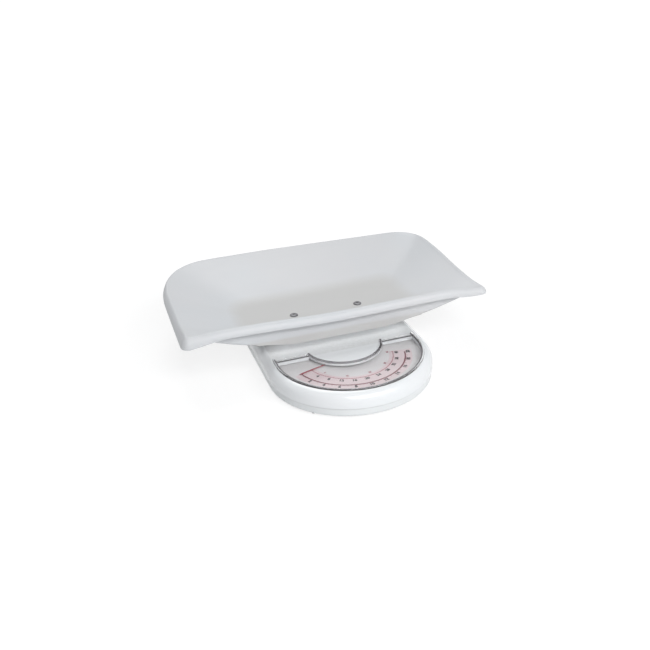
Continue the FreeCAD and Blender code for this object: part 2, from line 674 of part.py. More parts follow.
def make_movement_bracket():
    """Pressed plate with ears for the crank, a stop for the rack spring and the lower spindle seat."""
    front = f"({DIAL_Y} - bracket_front)"
    past = (f"{PAN_FLOOR} - over", f"{BRACKET_TOP} + over")
    plate = box(("-bracket_half", "bracket_half"), (front, f"{CRANK_Y} + 16"), (PAN_FLOOR, BRACKET_TOP))
    window_half = "(crank_half + ear_gap)"
    window = box((f"-{window_half}", window_half), (f"{CRANK_Y} - crank_arm - 4", f"{CRANK_Y} + 5"), past)
    ears = []
    ear_top = "crank_height + pin_radius + 1"
    for side in (1, -1):
        across = sided(side, window_half, f"{window_half} + ear_thick")
        ears.append(box(across, (f"{CRANK_Y} - 5", f"{CRANK_Y} + 5"), (PAN_FLOOR, ear_top)))
    stop_span = (PAN_FLOOR, "rack_base + rack_height")
    stop = box(("-light_offset * 2", "0"), (front, f"{front} + sheet_thick"), stop_span)
    seat = rod("z", "boss_radius", (PAN_FLOOR, f"{BRACKET_TOP} + 3"), ("0", DIAL_Y))
    pin_holes = rod("x", "pin_radius", ("-bracket_half", "bracket_half"), (CRANK_Y, "crank_height"))
    seat_span = (f"{BRACKET_TOP} + 1", f"{BRACKET_TOP} + 4")
    spindle_hole = rod("z", "pin_radius + running", seat_span, ("0", DIAL_Y))
    screw_holes = [rod("z", "bracket_screw", past, place) for place in bracket_screw_places()[:4]]
    solid = join(plate, *ears, stop, seat)
    cut(solid, window, pin_holes, spindle_hole, *screw_holes, label="movement_bracket")
    pin_end = f"({window_half} + ear_thick + 0.5)"
    pin = rod("x", "pin_radius", (f"-{pin_end}", pin_end), (CRANK_Y, "crank_height"))
    pin.Label = "crank_pin"


def make_spindle_bridge():
    """Bridge that holds the spindle upright and guides the rack."""
    low, high = f"({DIAL_Y} - bridge_front)", f"({DIAL_Y} + bridge_back)"
    deck_top = "(rack_base - deck_gap)"
    wide = ("-bridge_half", "bridge_half")
    deck = box(wide, (low, high), (f"{deck_top} - sheet_thick", deck_top))
    legs = [
        box(wide, (low, f"{low} + sheet_thick"), (BRACKET_TOP, deck_top)),
        box(wide, (f"{high} - sheet_thick", high), (BRACKET_TOP, deck_top)),
    ]
    along = (f"{high} - 6", f"{high} - 1")
    guide = box(("-rack_side - 1", "-4"), along, (f"{deck_top} - 1", "rack_base - seat_gap"))
    fence_span = (f"{deck_top} - 1", "rack_base + rack_height")
    fence = box(("-rack_side - 1", "-rack_side - seat_gap"), along, fence_span)
    hole = rod("z", "pin_radius + running", (f"{deck_top} - 3", f"{deck_top} + over"), ("0", DIAL_Y))
    return cut(join(deck, *legs, guide, fence), hole, label="spindle_bridge")


def make_bell_crank():
    """Crank that turns the nose's fall into the rack's stroke."""
    half = ("-crank_half", "crank_half")
    thick = ("-crank_web / 2", "crank_web / 2")
    nose_half = ("2 - crank_half", "crank_half - 2")
    hub = rod("x", "crank_hub", half, ("0", "0"))
    nose_arm = box(nose_half, ("-crank_arm", "0"), thick)
    nose_roll = rod("x", "roll_radius", nose_half, ("-crank_arm", "0"))
    rack_arm = box(half, thick, ("0", "crank_arm"))
    rack_roll = rod("x", "roll_radius", half, ("0", "crank_arm"))
    bore = rod("x", "pin_radius + running", ("-crank_half - over", "crank_half + over"), ("0", "0"))
    notch_half = "(spring_wire + 0.6)"
    notch_span = (f"spring_offset - {notch_half}", f"spring_offset + {notch_half}")
    notch = box(notch_span, ("-2", "2"), ("crank_arm - 4", "crank_arm + 2"))
    hooked = join(cut(join(hub, nose_arm, nose_roll, rack_arm), notch), rack_roll)
    crank = cut(hooked, bore, label="bell_crank")
    crank.Placement = Placement(Vector(), Rotation(Vector(1, 0, 0), -number("crank_tilt")))
    bind(crank, Placement__Base__y=CRANK_Y, Placement__Base__z="crank_height")


def tooth(base_half, tip_half, reach):
    """Outline of a straight-sided tooth: (along, out) corners."""
    return ((-base_half, 0.0), (-tip_half, reach), (tip_half, reach), (base_half, 0.0))


def toothed(outline, start, low, height):
    """One tooth that stands out along X, from its outline."""
    spots = [Vector(start + out, along, low) for along, out in outline]
    return Part.Face(Part.makePolygon([*spots, spots[0]])).extrude(Vector(0, 0, height))


def make_rack():
    """Toothed bar that the crank pushes forward."""
    module = number("gear_module")
    pitch = math.pi * module
    root_x = -number(PITCH_RADIUS) - ROOT_DEPTH * module
    side_x = -number("rack_side")
    low = number("rack_base")
    height = number("rack_height")
    centre_y = number(DIAL_Y)
    rear = number(f"{CRANK_Y} + {TIP_BACK} - roll_radius - seat_gap")
    front = centre_y - RACK_LEAD * pitch
    bar = Part.makeBox(root_x - side_x, rear - front, height, Vector(side_x, front, low))
    outline = tooth(0.42 * pitch, 0.1 * pitch, 2 * module)
    teeth = []
    for step in range(1 - RACK_LEAD, 9):
        blank = toothed(outline, root_x - 0.01, low, height)
        blank.translate(Vector(0, centre_y + (step + 0.5) * pitch, 0))
        teeth.append(blank)
    rack = DOC.addObject("Part::Feature", "rack")
    rack.Shape = bar.multiFuse(teeth).removeSplitter()


def make_pinion():
    """Small gear on the spindle, with a tooth in the gap of the rack."""
    module = number("gear_module")
    count = round(number("pinion_teeth"))
    radius = number(PITCH_RADIUS)
    low = number("rack_base - 0.5")
    height = number("rack_height + 1")
    root = radius - ROOT_DEPTH * module
    wheel = Part.makeCylinder(root, height, Vector(0, 0, low))
    step = 2 * math.pi / count
    outline = tooth(0.3 * step * radius, 0.1 * step * radius, 1.85 * module)
    for index in range(count):
        blank = toothed(outline, root - 0.05, low, height)
        blank.rotate(Vector(), Vector(0, 0, 1), math.degrees(index * step + math.pi))
        wheel = wheel.fuse(blank)
    bore = Part.makeCylinder(number("pin_radius"), height + 2, Vector(0, 0, low - 1))
    pinion = DOC.addObject("Part::Feature", "pinion")
    pinion.Shape = wheel.cut(bore).removeSplitter()
    pinion.Placement = Placement(Vector(0, number(DIAL_Y), 0), Rotation())


def make_pointer():
    """Spindle and the red pointer on it."""
    foot = f"({BRACKET_TOP} + 1 + seat_gap)"
    top = f"({PLATE_TOP} + pointer_slot)"
    spindle_top = f"({top} + 0.5)"
    turned("spindle", (("0", foot), ("pin_radius", foot), ("pin_radius", spindle_top), ("0", spindle_top)),
           "0", DIAL_Y)
    neck = "pointer_length * 0.4"
    end = "pointer_length - 3 * blade_end"
    blade = padded("pointer_blade", "XY_Plane", f"({PLATE_TOP} + blade_rise)", (
        ("-blade_tail", "-blade_half / 2"), ("0", "-blade_half"), (neck, "-blade_neck"), (end, "-blade_end"),
        ("pointer_length", "0"), (end, "blade_end"), (neck, "blade_neck"),
        ("0", "blade_half"), ("-blade_tail", "blade_half / 2"),
    ), "blade_thick")
    hub = rod("z", "pointer_hub", (f"{PLATE_TOP} + blade_rise - 0.6", top), ("0", "0"))
    bore = rod("z", "pin_radius", (f"{PLATE_TOP} - over", f"{top} + over"), ("0", "0"))
    pointer = cut(join(blade, hub), bore, label="pointer")
    pointer.Placement = Placement(Vector(), Rotation(Vector(0, 0, 1), number("pointer_zero")))
    bind(pointer, Placement__Base__y=DIAL_Y)


def coil_along_y(radius, wire, low, high, x, z, turns):
    """Coil along Y from low to high, as a solid."""
    pitch = (high - low) / turns
    helix = Part.makeHelix(pitch, high - low, radius)
    start = Vector(radius, 0, 0)
    profile = Part.Wire(Part.makeCircle(wire / 2, start, Vector(0, 1, pitch / (2 * math.pi * radius))))
    coil = Part.Wire(helix).makePipeShell([profile], True, True)
    coil.Placement = Placement(Vector(x, low, z), Rotation(Vector(1, 0, 0), -90))
    return coil


def make_main_spring():
    """Coil between the crank's roll and the spring block, with a ring round the roll."""
    wire, radius, hook = number("spring_wire"), number("spring_radius"), number("hook_radius")
    x, z = number("spring_offset"), number(TIP_HEIGHT)
    low = number(SPRING_FRONT_Y) + wire
    coil = coil_along_y(radius, wire, low, number(BLOCK_Y) - wire, x, z, 18)
    ring_y = number(f"{CRANK_Y} + {TIP_BACK}")
    ring = Part.makeTorus(hook, wire / 2, Vector(x, ring_y, z), Vector(1, 0, 0))
    leg = Part.makeCylinder(wire / 2, low - ring_y - hook, Vector(x, ring_y + hook, z), Vector(0, 1, 0))
    foot = Part.makeCylinder(0.45 * wire, radius, Vector(x, low, z), Vector(1, 0, 0))
    spring = DOC.addObject("Part::Feature", "main_spring")
    spring.Shape = coil.fuse(ring.multiFuse([leg, foot]))


def make_rack_spring():
    """Light coil that keeps the rack against the crank."""
    wire = number("light_wire")
    front = number(f"{DIAL_Y} - bracket_front + sheet_thick") + wire
    back = number(DIAL_Y) - RACK_LEAD * math.pi * number("gear_module") - wire
    middle = number("rack_base + rack_height / 2")
    spring = DOC.addObject("Part::Feature", "rack_spring")
    spring.Shape = coil_along_y(number("light_radius"), wire, front, back, -number("light_offset"), middle, 9)


def make_spring_block():
    """Block that the zero screw moves along its rail."""
    across = ("spring_offset - block_half", "spring_offset + block_half")
    upright = (f"{TIP_HEIGHT} - block_high", f"{TIP_HEIGHT} + block_high")
    block = box(across, (BLOCK_Y, f"{BLOCK_Y} + block_length"), upright)
    bore_span = (f"{BLOCK_Y} + 1", f"{BLOCK_Y} + block_length + over")
    cut(block, rod("y", "screw_rod + running", bore_span, ("spring_offset", TIP_HEIGHT)), label="spring_block")


def make_zero_bracket():
    """Bracket that holds the zero screw between its two collars."""
    wall_back = f"{ZERO_WALL_Y} + zero_wall"
    left = "spring_offset - 4"
    foot = box((left, "spring_offset + 18"), (f"{ZERO_WALL_Y} - 18", wall_back), (PAN_FLOOR, BRACKET_TOP))
    wall = box((left, "spring_offset + 4"), (ZERO_WALL_Y, wall_back), (PAN_FLOOR, f"{TIP_HEIGHT} + 5"))
    hole_span = (f"{ZERO_WALL_Y} - over", f"{wall_back} + over")
    hole = rod("y", "screw_rod + running", hole_span, ("spring_offset", TIP_HEIGHT))
    screw_span = (f"{PAN_FLOOR} - over", f"{BRACKET_TOP} + over")
    screw_hole = rod("z", "bracket_screw", screw_span, bracket_screw_places()[4])
    cut(join(foot, wall), hole, screw_hole, label="zero_bracket")


def make_zero_screw():
    """Zero screw with its two collars, and the ridged knob on its end."""
    centre = ("spring_offset", TIP_HEIGHT)
    back = f"({BASE_REAR_Y} + knob_gap)"
    bore_end = f"{back} + knob_length - 2"
    shaft = rod("y", "screw_rod", (f"{BLOCK_Y} + 3", bore_end), centre)
    front_face = f"({ZERO_WALL_Y} - seat_gap)"
    rear_face = f"({ZERO_WALL_Y} + zero_wall + seat_gap)"
    collars = [
        rod("y", "screw_rod + collar_step", (f"{front_face} - collar_length", front_face), centre),
        rod("y", "screw_rod + collar_step", (rear_face, f"{rear_face} + collar_length"), centre),
    ]
    join(shaft, *collars, label="zero_screw")
    ridges = []
    for index in range(KNOB_RIDGES):
        angle = index * 360 / KNOB_RIDGES
        spot = (f"spring_offset + (knob_radius - 0.5) * cos({angle})",
                f"{TIP_HEIGHT} + (knob_radius - 0.5) * sin({angle})")
        ridges.append(rod("y", "0.8", (back, f"{back} + knob_length - 1"), spot))
    disc = rod("y", "knob_radius - 0.4", (back, f"{back} + knob_length"), centre)
    bore = rod("y", "screw_rod", (f"{back} - over", bore_end), centre)
    cut(join(disc, *ridges), bore, label="zero_knob")


# --- Tray -----------------------------------------------------------------------

# How far the tray has spread and risen on the way from its floor to its crest.
TRAY_SLOPE = ((0, 0), (0.43, 0.18), (0.72, 0.42), (0.9, 0.72), (1, 1))

# Lower edge of the skirt: along X in parts of its half length, and its depth in parts of the full depth.
SKIRT_EDGE = ((0.4, 1), (0.62, 0.9), (0.8, 0.62), (0.92, 0.25), (1, -0.15))

# Faces of the lip: in from its edge in parts of its reach, down from its crest in parts of its drop.
LIP_OUTER = ((0, 1), (0, 0.45), (0.35, 0.1), (0.85, 0))
LIP_INNER = ((0, 1), (0, 0.35), (0.2, 0))


def tray_wire(half, front, rear, front_radius, rear_radius, height, lean):
    """Rounded outline of the tray on a plane that leans up to the back."""
    top, turn = math.radians(90), math.radians(45)
    corners = (
        (half - front_radius, front + front_radius, front_radius, -turn, 1, -1),
        (half - rear_radius, rear - rear_radius, rear_radius, turn, 1, 1),
        (-half + rear_radius, rear - rear_radius, rear_radius, top + turn, -1, 1),
        (-half + front_radius, front + front_radius, front_radius, -top - turn, -1, -1),
    )
    edges, spots = [], []
    for x, y, radius, middle, sign_x, sign_y in corners:
        begin, finish = Vector(x + sign_x * radius, y), Vector(x, y + sign_y * radius)
        if sign_x * sign_y < 0:
            begin, finish = finish, begin
        spots.append((begin, Vector(x + radius * math.cos(middle), y + radius * math.sin(middle)), finish))
    for index, (begin, middle, finish) in enumerate(spots):
        edges.append(Part.Arc(begin, middle, finish).toShape())
        edges.append(Part.LineSegment(finish, spots[(index + 1) % 4][0]).toShape())
    wire = Part.Wire(edges)
    wire.rotate(Vector(0, number("screw_line - tray_front"), 0), Vector(1, 0, 0), lean)
    wire.translate(Vector(0, 0, height))
    return wire


def make_tray():
    """Moulded tray: flat floor, sloping ends and back, steep front, rolled lip, skirt below."""
    wall = number("tray_wall")
    half = number("tray_length / 2")
    front, rear = number("screw_line - tray_front"), number("screw_line + tray_rear")
    crest, reach, drop = number("rim_height"), number("lip_reach"), number("lip_drop")
    front_radius, rear_radius = number("front_corner"), number("rear_corner")
    lean = math.degrees(math.asin(number("rim_rise") / (rear - front)))
    floor, floor_half, corner = number("floor_height"), number("floor_length / 2"), number("floor_corner")
    floor_front, floor_rear = number("screw_line - floor_front"), number("screw_line + floor_rear")
    inner = reach + wall / 2
    sharp = wall

    def lip_wire(inset, level):
        return tray_wire(half - inset, front + inset, rear - inset, max(front_radius - inset, sharp),
                         rear_radius - inset, level, lean)

    def basin(out, down, above=0):
        """Hollow of the tray grown by out sideways and by down at the floor."""
        wires = []
        for along, up in TRAY_SLOPE:
            wires.append(tray_wire(
                floor_half + along * (half - inner - floor_half) + out,
                floor_front + along * (front + inner - floor_front) - out,
                floor_rear + along * (rear - inner - floor_rear) + out,
                corner + along * (max(front_radius - inner, sharp) - corner),
                corner + along * (rear_radius - inner - corner),
                floor + up * (crest - floor) - down * (1 - up), lean * up,
            ))
        if above:
            wires.append(lip_wire(inner - out, crest + above))
        return Part.makeLoft(wires, True, True)

    hollow = basin(0, 0, above=2)
    hull = basin(wall, wall)
    outer_wires = [lip_wire(along * reach, crest - down * drop) for along, down in LIP_OUTER]
    inner_wires = [lip_wire(wall + along * reach, crest - down * drop - wall) for along, down in LIP_INNER]
    lip = Part.makeLoft(outer_wires, True, True).cut(Part.makeLoft(inner_wires, True, True))
    shell = hull.fuse(lip).cut(hollow).fuse(skirt_ring(floor_half, floor_front).cut(hollow))
    for side in (1, -1):
        spot = Vector(side * number("screw_spacing / 2"), number("screw_line"), floor - wall - 1)
        shell = shell.cut(Part.makeCylinder(number("tray_bolt + ease"), wall + 2, spot))
    tray = DOC.addObject("Part::Feature", "tray")
    tray.Shape = shell.removeSplitter().Solids[0]


def skirt_ring(floor_half, floor_front):
    """Upright wall below the floor, deepest in the middle and running out under the ends."""
    wall, depth, radius = number("tray_wall"), number("skirt_depth"), number("skirt_corner")
    half = floor_half + number("skirt_reach")
    rear = number("screw_line + skirt_rear")
    under = number("floor_height - tray_wall")
    base = under - depth
    outer = Part.Face(tray_wire(half, floor_front - wall, rear, radius, radius, base, 0))
    inner = Part.Face(tray_wire(half - wall, floor_front, rear - wall, radius - wall, radius - wall, base, 0))
    ring = outer.cut(inner).extrude(Vector(0, 0, depth + 1.5 * wall))
    front, back = floor_front - 2 * wall, rear + 2 * wall
    for side in (1, -1):
        line = [Vector(side * half * along, front, under - depth * deep) for along, deep in SKIRT_EDGE]
        first, last = line[0], line[-1]
        end = side * half * 1.1
        below = [Vector(end, front, last.z), Vector(end, front, base - 1), Vector(first.x, front, base - 1)]
        edge = Part.BSplineCurve()
        edge.interpolate(line)
        sides = Part.makePolygon([last, *below, first]).Edges
        wedge = Part.Face(Part.Wire([edge.toShape(), *sides])).extrude(Vector(0, back - front, 0))
        ring = ring.cut(wedge)
    return ring


def make_tray_fixings():
    """Screws with washers above the floor and nuts below the carrier."""
    end = f"({CARRIER_BASE} - bolt_end)"
    seat = "(floor_height + washer_thick)"
    crown = f"({seat} + head_height)"
    for name, (x, y) in zip(("right", "left"), tray_screw_places()):
        turned(f"tray_screw_{name}", (
            ("0", end), ("tray_bolt", end), ("tray_bolt", seat), ("bolt_head", seat),
            ("bolt_head * 0.92", f"{crown} - 0.8"), ("bolt_head * 0.6", f"{crown} - 0.2"), ("0", crown),
        ), x, y)
    washers, nuts = [], []
    eye_span = ("floor_height - over", f"{seat} + over")
    for x, y in tray_screw_places():
        disc = rod("z", "washer_radius", ("floor_height", seat), (x, y))
        washers.append(cut(disc, rod("z", "tray_bolt + 0.1", eye_span, (x, y))))
        prism = DOC.addObject("Part::Prism", "nut_blank")
        prism.Polygon = 6
        bind(prism, Circumradius="nut_corner", Height="nut_height")
        put(prism, x, y, f"{CARRIER_BASE} - nut_height")
        nuts.append(cut(prism, rod("z", "tray_bolt", (end, f"{CARRIER_BASE} + over"), (x, y))))
    group(*washers, label="tray_washers")
    group(*nuts, label="tray_nuts")


def make_carrier():
    """Plate under the tray and its four legs down to the levers."""
    half = f"({LEG_X} + carrier_side)"
    along = ("screw_line - floor_front + carrier_front", "screw_line + skirt_rear - carrier_rear")
    plate = box((f"-{half}", half), along, (CARRIER_BASE, FLOOR_UNDER))
    hole_span = (f"{CARRIER_BASE} - over", f"{FLOOR_UNDER} + over")
    holes = [rod("z", "tray_bolt + ease", hole_span, place) for place in tray_screw_places()]
    seat = f"({FLOOR_UNDER} - 1)"
    sockets = [rod("z", "leg_spigot", (f"{CARRIER_BASE} - over", seat), (x, y)) for _, x, y in leg_places()]
    cut(plate, *holes, *sockets, label="tray_carrier")
    foot = f"({BAR_TOP} + seat_gap)"
    for name, x, y in leg_places():
        turned(f"carrier_leg_{name}", (
            ("0", foot), ("leg_tip", foot), ("leg_radius", f"{foot} + leg_radius"),
            ("leg_radius", CARRIER_BASE), ("leg_spigot", CARRIER_BASE), ("leg_spigot", seat), ("0", seat),
        ), x, y)


# --- Build and write --------------------------------------------------------------

NODES = (
    "base_pan", "top_cover", "window_lens", "dial_plate", "cover_screws", "bracket_screws", "dial_screws",
    "foot_rear_right", "foot_rear_left", "foot_front_right", "foot_front_left",
    "rear_post_right", "rear_post_left", "front_post_right", "front_post_left",
    "long_lever", "rear_knife_rod", "short_lever_right", "short_lever_left",
    "front_knife_rod_right", "front_knife_rod_left",
    "movement_bracket", "crank_pin", "spindle_bridge", "bell_crank", "rack", "pinion", "spindle", "pointer",
    "main_spring", "rack_spring", "spring_block", "zero_screw", "zero_bracket", "zero_knob",
    "tray", "tray_screw_right", "tray_screw_left", "tray_washers", "tray_nuts", "tray_carrier",
    "carrier_leg_rear_right", "carrier_leg_rear_left", "carrier_leg_front_right", "carrier_leg_front_left",
)


def build():
    """Make every piece, check it and write one file for each node."""
    fill_sheet()
    makers = (
        make_base_pan, make_top_cover, make_window_lens, make_dial_plate, make_screws, make_feet,
        make_posts, make_long_lever, make_short_levers, make_movement_bracket, make_spindle_bridge,
        make_bell_crank, make_rack, make_pinion, make_pointer, make_main_spring, make_rack_spring,
        make_spring_block, make_zero_bracket, make_zero_screw, make_tray, make_tray_fixings, make_carrier,
    )
    for make in makers:
        make()
    DOC.recompute()
    for item in DOC.Objects:
        if "Invalid" in item.State or "Error" in item.State:
            raise RuntimeError(f"{item.Label} failed: {item.State}")
    os.makedirs("parts", exist_ok=True)
    for name in NODES:
        found = DOC.getObjectsByLabel(name)
        if len(found) != 1:
            raise RuntimeError(f"{name} is made {len(found)} times")
        shape = found[0].Shape
        if shape.isNull() or not shape.isValid() or not shape.Solids:
            raise RuntimeError(f"{name} is not a valid solid")
        shape.exportStep(f"parts/{name}.step")


build()
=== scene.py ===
"""Looks of a mechanical baby scale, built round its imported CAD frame.

Metres, in the CAD's own frame: +X along the tray, +Y to the back, +Z up, the table at Z = 0.
Sizes inside the classes are millimetres, as on a drawing, and go through MM when a corner is placed.
"""
import logging
import math
from collections.abc import Iterable, Sequence
from dataclasses import astuple, dataclass, field
from enum import Enum

import bmesh
import bpy
from mathutils import Matrix, Vector


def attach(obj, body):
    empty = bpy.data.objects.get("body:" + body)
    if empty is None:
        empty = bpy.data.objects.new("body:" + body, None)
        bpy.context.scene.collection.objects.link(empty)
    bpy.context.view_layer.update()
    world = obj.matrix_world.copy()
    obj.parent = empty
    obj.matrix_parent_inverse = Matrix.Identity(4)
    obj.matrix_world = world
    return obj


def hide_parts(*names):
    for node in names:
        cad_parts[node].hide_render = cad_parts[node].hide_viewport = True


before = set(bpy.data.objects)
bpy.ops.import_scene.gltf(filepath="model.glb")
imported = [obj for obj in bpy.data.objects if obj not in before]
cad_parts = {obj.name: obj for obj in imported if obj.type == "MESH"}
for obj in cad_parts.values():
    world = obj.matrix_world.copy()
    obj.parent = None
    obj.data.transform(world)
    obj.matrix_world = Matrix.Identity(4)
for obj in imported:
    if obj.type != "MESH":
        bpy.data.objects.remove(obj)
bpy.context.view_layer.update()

LOG = logging.getLogger("baby_scale")
MM = 0.001
WELD_GAP = 0.00001

# Sockets of a colour Mix node: share, first and second colour, result.
MIX_SHARE, MIX_LOW, MIX_HIGH, MIX_RESULT = 0, 6, 7, 2

# Places taken from the CAD: line of the tray screws, axis of the dial, centre of the half disc.
SCREW_LINE = 11.2
DIAL_Y = SCREW_LINE - 116
HUB_Y = DIAL_Y + 29.3


class Body(Enum):
    """CAD bodies that new pieces ride on."""

    BASE = "base"
    TRAY = "weighing_tray"


class Slot(Enum):
    """Material slots of the record, by name."""

    TRAY = "tray_white"
    LENS = "lens_clear"
    DIAL = "dial_print"
    SCREW = "zinc_screw"


def srgb(red: int, green: int, blue: int) -> tuple[float, float, float, float]:
    """Turn a display colour into the linear colour that a shader takes.

    Args:
        red: Red, 0 to 255.
        green: Green, 0 to 255.
        blue: Blue, 0 to 255.

    Returns:
        Linear red, green and blue, and alpha 1.
    """
    def linear(value: int) -> float:
        """Linear share of one channel."""
        share = value / 255
        return share / 12.92 if share <= 0.04045 else ((share + 0.055) / 1.055) ** 2.4

    return linear(red), linear(green), linear(blue), 1.0


# --- Shader building ------------------------------------------------------------


class Nodes:
    """Adds and joins the nodes of one material or group."""

    def __init__(self, tree: bpy.types.NodeTree) -> None:
        """Work on this node tree."""
        self.tree = tree

    def add(self, kind: str, **values: object) -> bpy.types.Node:
        """Add a node and set its properties and plain inputs.

        Args:
            kind: Blender's name of the node type.
            **values: Properties by name, or inputs by name with spaces as underscores.

        Returns:
            The new node.
        """
        node = self.tree.nodes.new(kind)
        for name, value in values.items():
            socket = name.replace("_", " ")
            if socket in node.inputs:
                node.inputs[socket].default_value = value
            else:
                setattr(node, name, value)
        return node

    def join(self, source: bpy.types.NodeSocket, target: bpy.types.NodeSocket) -> None:
        """Link one socket to another."""
        self.tree.links.new(source, target)

    def blend(self, mask: bpy.types.NodeSocket, low: bpy.types.NodeSocket | Sequence[float],
              high: Sequence[float]) -> bpy.types.NodeSocket:
        """Colour that goes from low to high with the mask.

        Args:
            mask: Share of the high colour.
            low: Linear colour where the mask is 0, or the socket that gives it.
            high: Linear colour where the mask is 1.

        Returns:
            The colour socket.
        """
        mix = self.add("ShaderNodeMix", data_type="RGBA")
        if isinstance(low, bpy.types.NodeSocket):
            self.join(low, mix.inputs[MIX_LOW])
        else:
            mix.inputs[MIX_LOW].default_value = low
        mix.inputs[MIX_HIGH].default_value = high
        self.join(mask, mix.inputs[MIX_SHARE])
        return mix.outputs[MIX_RESULT]

    def reckon(self, operation: str, first: bpy.types.NodeSocket,
               second: bpy.types.NodeSocket) -> bpy.types.NodeSocket:
        """Work out a value from two others.

        Args:
            operation: Blender's name of the sum, such as ADD.
            first: The first value.
            second: The second value.

        Returns:
            The value's socket.
        """
        node = self.add("ShaderNodeMath", operation=operation)
        self.join(first, node.inputs[0])
        self.join(second, node.inputs[1])
        return node.outputs[0]

    def choose(self, mask: bpy.types.NodeSocket, first: bpy.types.NodeSocket,
               second: bpy.types.NodeSocket) -> bpy.types.NodeSocket:
        """Go from one shader to another.

        Args:
            mask: Share of the second shader.
            first: Shader where the mask is 0.
            second: Shader where the mask is 1.

        Returns:
            The mixed shader.
        """
        mix = self.add("ShaderNodeMixShader")
        self.join(mask, mix.inputs["Fac"])
        self.join(first, mix.inputs[1])
        self.join(second, mix.inputs[2])
        return mix.outputs["Shader"]

    def noise(self, **values: float) -> bpy.types.Node:
        """Add noise that is fixed to the piece.

        Args:
            **values: Inputs of the noise by name.

        Returns:
            The noise node.
        """
        node = self.add("ShaderNodeTexNoise", **values)
        self.join(self.add("ShaderNodeTexCoord").outputs["Object"], node.inputs["Vector"])
        return node

    def surface(self, colour: bpy.types.NodeSocket, rough: bpy.types.NodeSocket, height: bpy.types.NodeSocket,
                strength: float, relief: float, **values: float) -> bpy.types.NodeSocket:
        """Principled surface with a fine relief.

        Args:
            colour: Its base colour.
            rough: Its roughness.
            height: Height of the relief.
            strength: How strongly the relief shows.
            relief: Depth of the relief, in metres.
            **values: Other inputs of the shader by name, with spaces as underscores.

        Returns:
            The shader's socket.
        """
        shader = self.add("ShaderNodeBsdfPrincipled", **values)
        bump = self.add("ShaderNodeBump", Strength=strength, Distance=relief)
        self.join(height, bump.inputs["Height"])
        self.join(colour, shader.inputs["Base Color"])
        self.join(rough, shader.inputs["Roughness"])
        self.join(bump.outputs["Normal"], shader.inputs["Normal"])
        return shader.outputs["BSDF"]

    def span(self, value: bpy.types.NodeSocket, low: float, high: float,
             start: float = 0.0, end: float = 1.0) -> bpy.types.NodeSocket:
        """Map a value from start..end onto low..high, held at both ends.

        Args:
            value: The socket to map.
            low: Result at start.
            high: Result at end.
            start: Lowest value read.
            end: Highest value read.

        Returns:
            The mapped socket.
        """
        node = self.add("ShaderNodeMapRange", From_Min=start, From_Max=end, To_Min=low, To_Max=high)
        self.join(value, node.inputs["Value"])
        return node.outputs["Result"]


class SharedPattern:
    """A node group that several materials use, built on first use."""

    name = "pattern"
    inputs: dict[str, float] = {}
    outputs: tuple[str, ...] = ()

    @classmethod
    def group(cls) -> bpy.types.NodeTree:
        """Build the group on first use.

        Returns:
            The group's node tree.
        """
        tree = bpy.data.node_groups.get(cls.name)
        if tree:
            return tree
        tree = bpy.data.node_groups.new(cls.name, "ShaderNodeTree")
        for label, value in cls.inputs.items():
            socket = tree.interface.new_socket(label, in_out="INPUT", socket_type="NodeSocketFloat")
            socket.default_value = value
        for label in cls.outputs:
            tree.interface.new_socket(label, in_out="OUTPUT", socket_type="NodeSocketFloat")
        kit = Nodes(tree)
        cls.fill(kit, kit.add("NodeGroupInput"), kit.add("NodeGroupOutput"))
        return tree

    @classmethod
    def fill(cls, kit: Nodes, given: bpy.types.Node, result: bpy.types.Node) -> None:
        """Build the inside of the group."""
        raise NotImplementedError

    @classmethod
    def place(cls, kit: Nodes, **values: float) -> bpy.types.Node:
        """Put the group in a material with its own values.

        Args:
            kit: Nodes of the material.
            **values: Inputs by name.

        Returns:
            The group node.
        """
        node = kit.add("ShaderNodeGroup", node_tree=cls.group())
        for label, value in values.items():
            node.inputs[label].default_value = value
        return node


class MouldGrain(SharedPattern):
    """Fine skin and slow unevenness of a moulded or cast surface."""

    name = "mould_grain"
    inputs = {"Grain": 900.0, "Patch": 9.0}
    outputs = ("Height", "Patches", "Smears")

    @classmethod
    def fill(cls, kit: Nodes, given: bpy.types.Node, result: bpy.types.Node) -> None:
        """Noise at two scales, and long faint smears along X.

        Args:
            kit: Nodes of the group.
            given: The group's input node.
            result: The group's output node.
        """
        fine = kit.noise(Detail=3.0, Roughness=0.6)
        slow = kit.noise(Detail=2.0, Roughness=0.45)
        kit.join(given.outputs["Grain"], fine.inputs["Scale"])
        kit.join(given.outputs["Patch"], slow.inputs["Scale"])
        place = kit.add("ShaderNodeTexCoord")
        stretch = kit.add("ShaderNodeMapping")
        stretch.inputs["Scale"].default_value = (4.0, 26.0, 26.0)
        streaks = kit.add("ShaderNodeTexNoise", Scale=3.0, Detail=5.0, Roughness=0.7)
        kit.join(place.outputs["Object"], stretch.inputs["Vector"])
        kit.join(stretch.outputs["Vector"], streaks.inputs["Vector"])
        kit.join(fine.outputs["Fac"], result.inputs["Height"])
        kit.join(kit.span(slow.outputs["Fac"], 0, 1, 0.35, 0.65), result.inputs["Patches"])
        kit.join(kit.span(streaks.outputs["Fac"], 0, 1, 0.45, 0.75), result.inputs["Smears"])


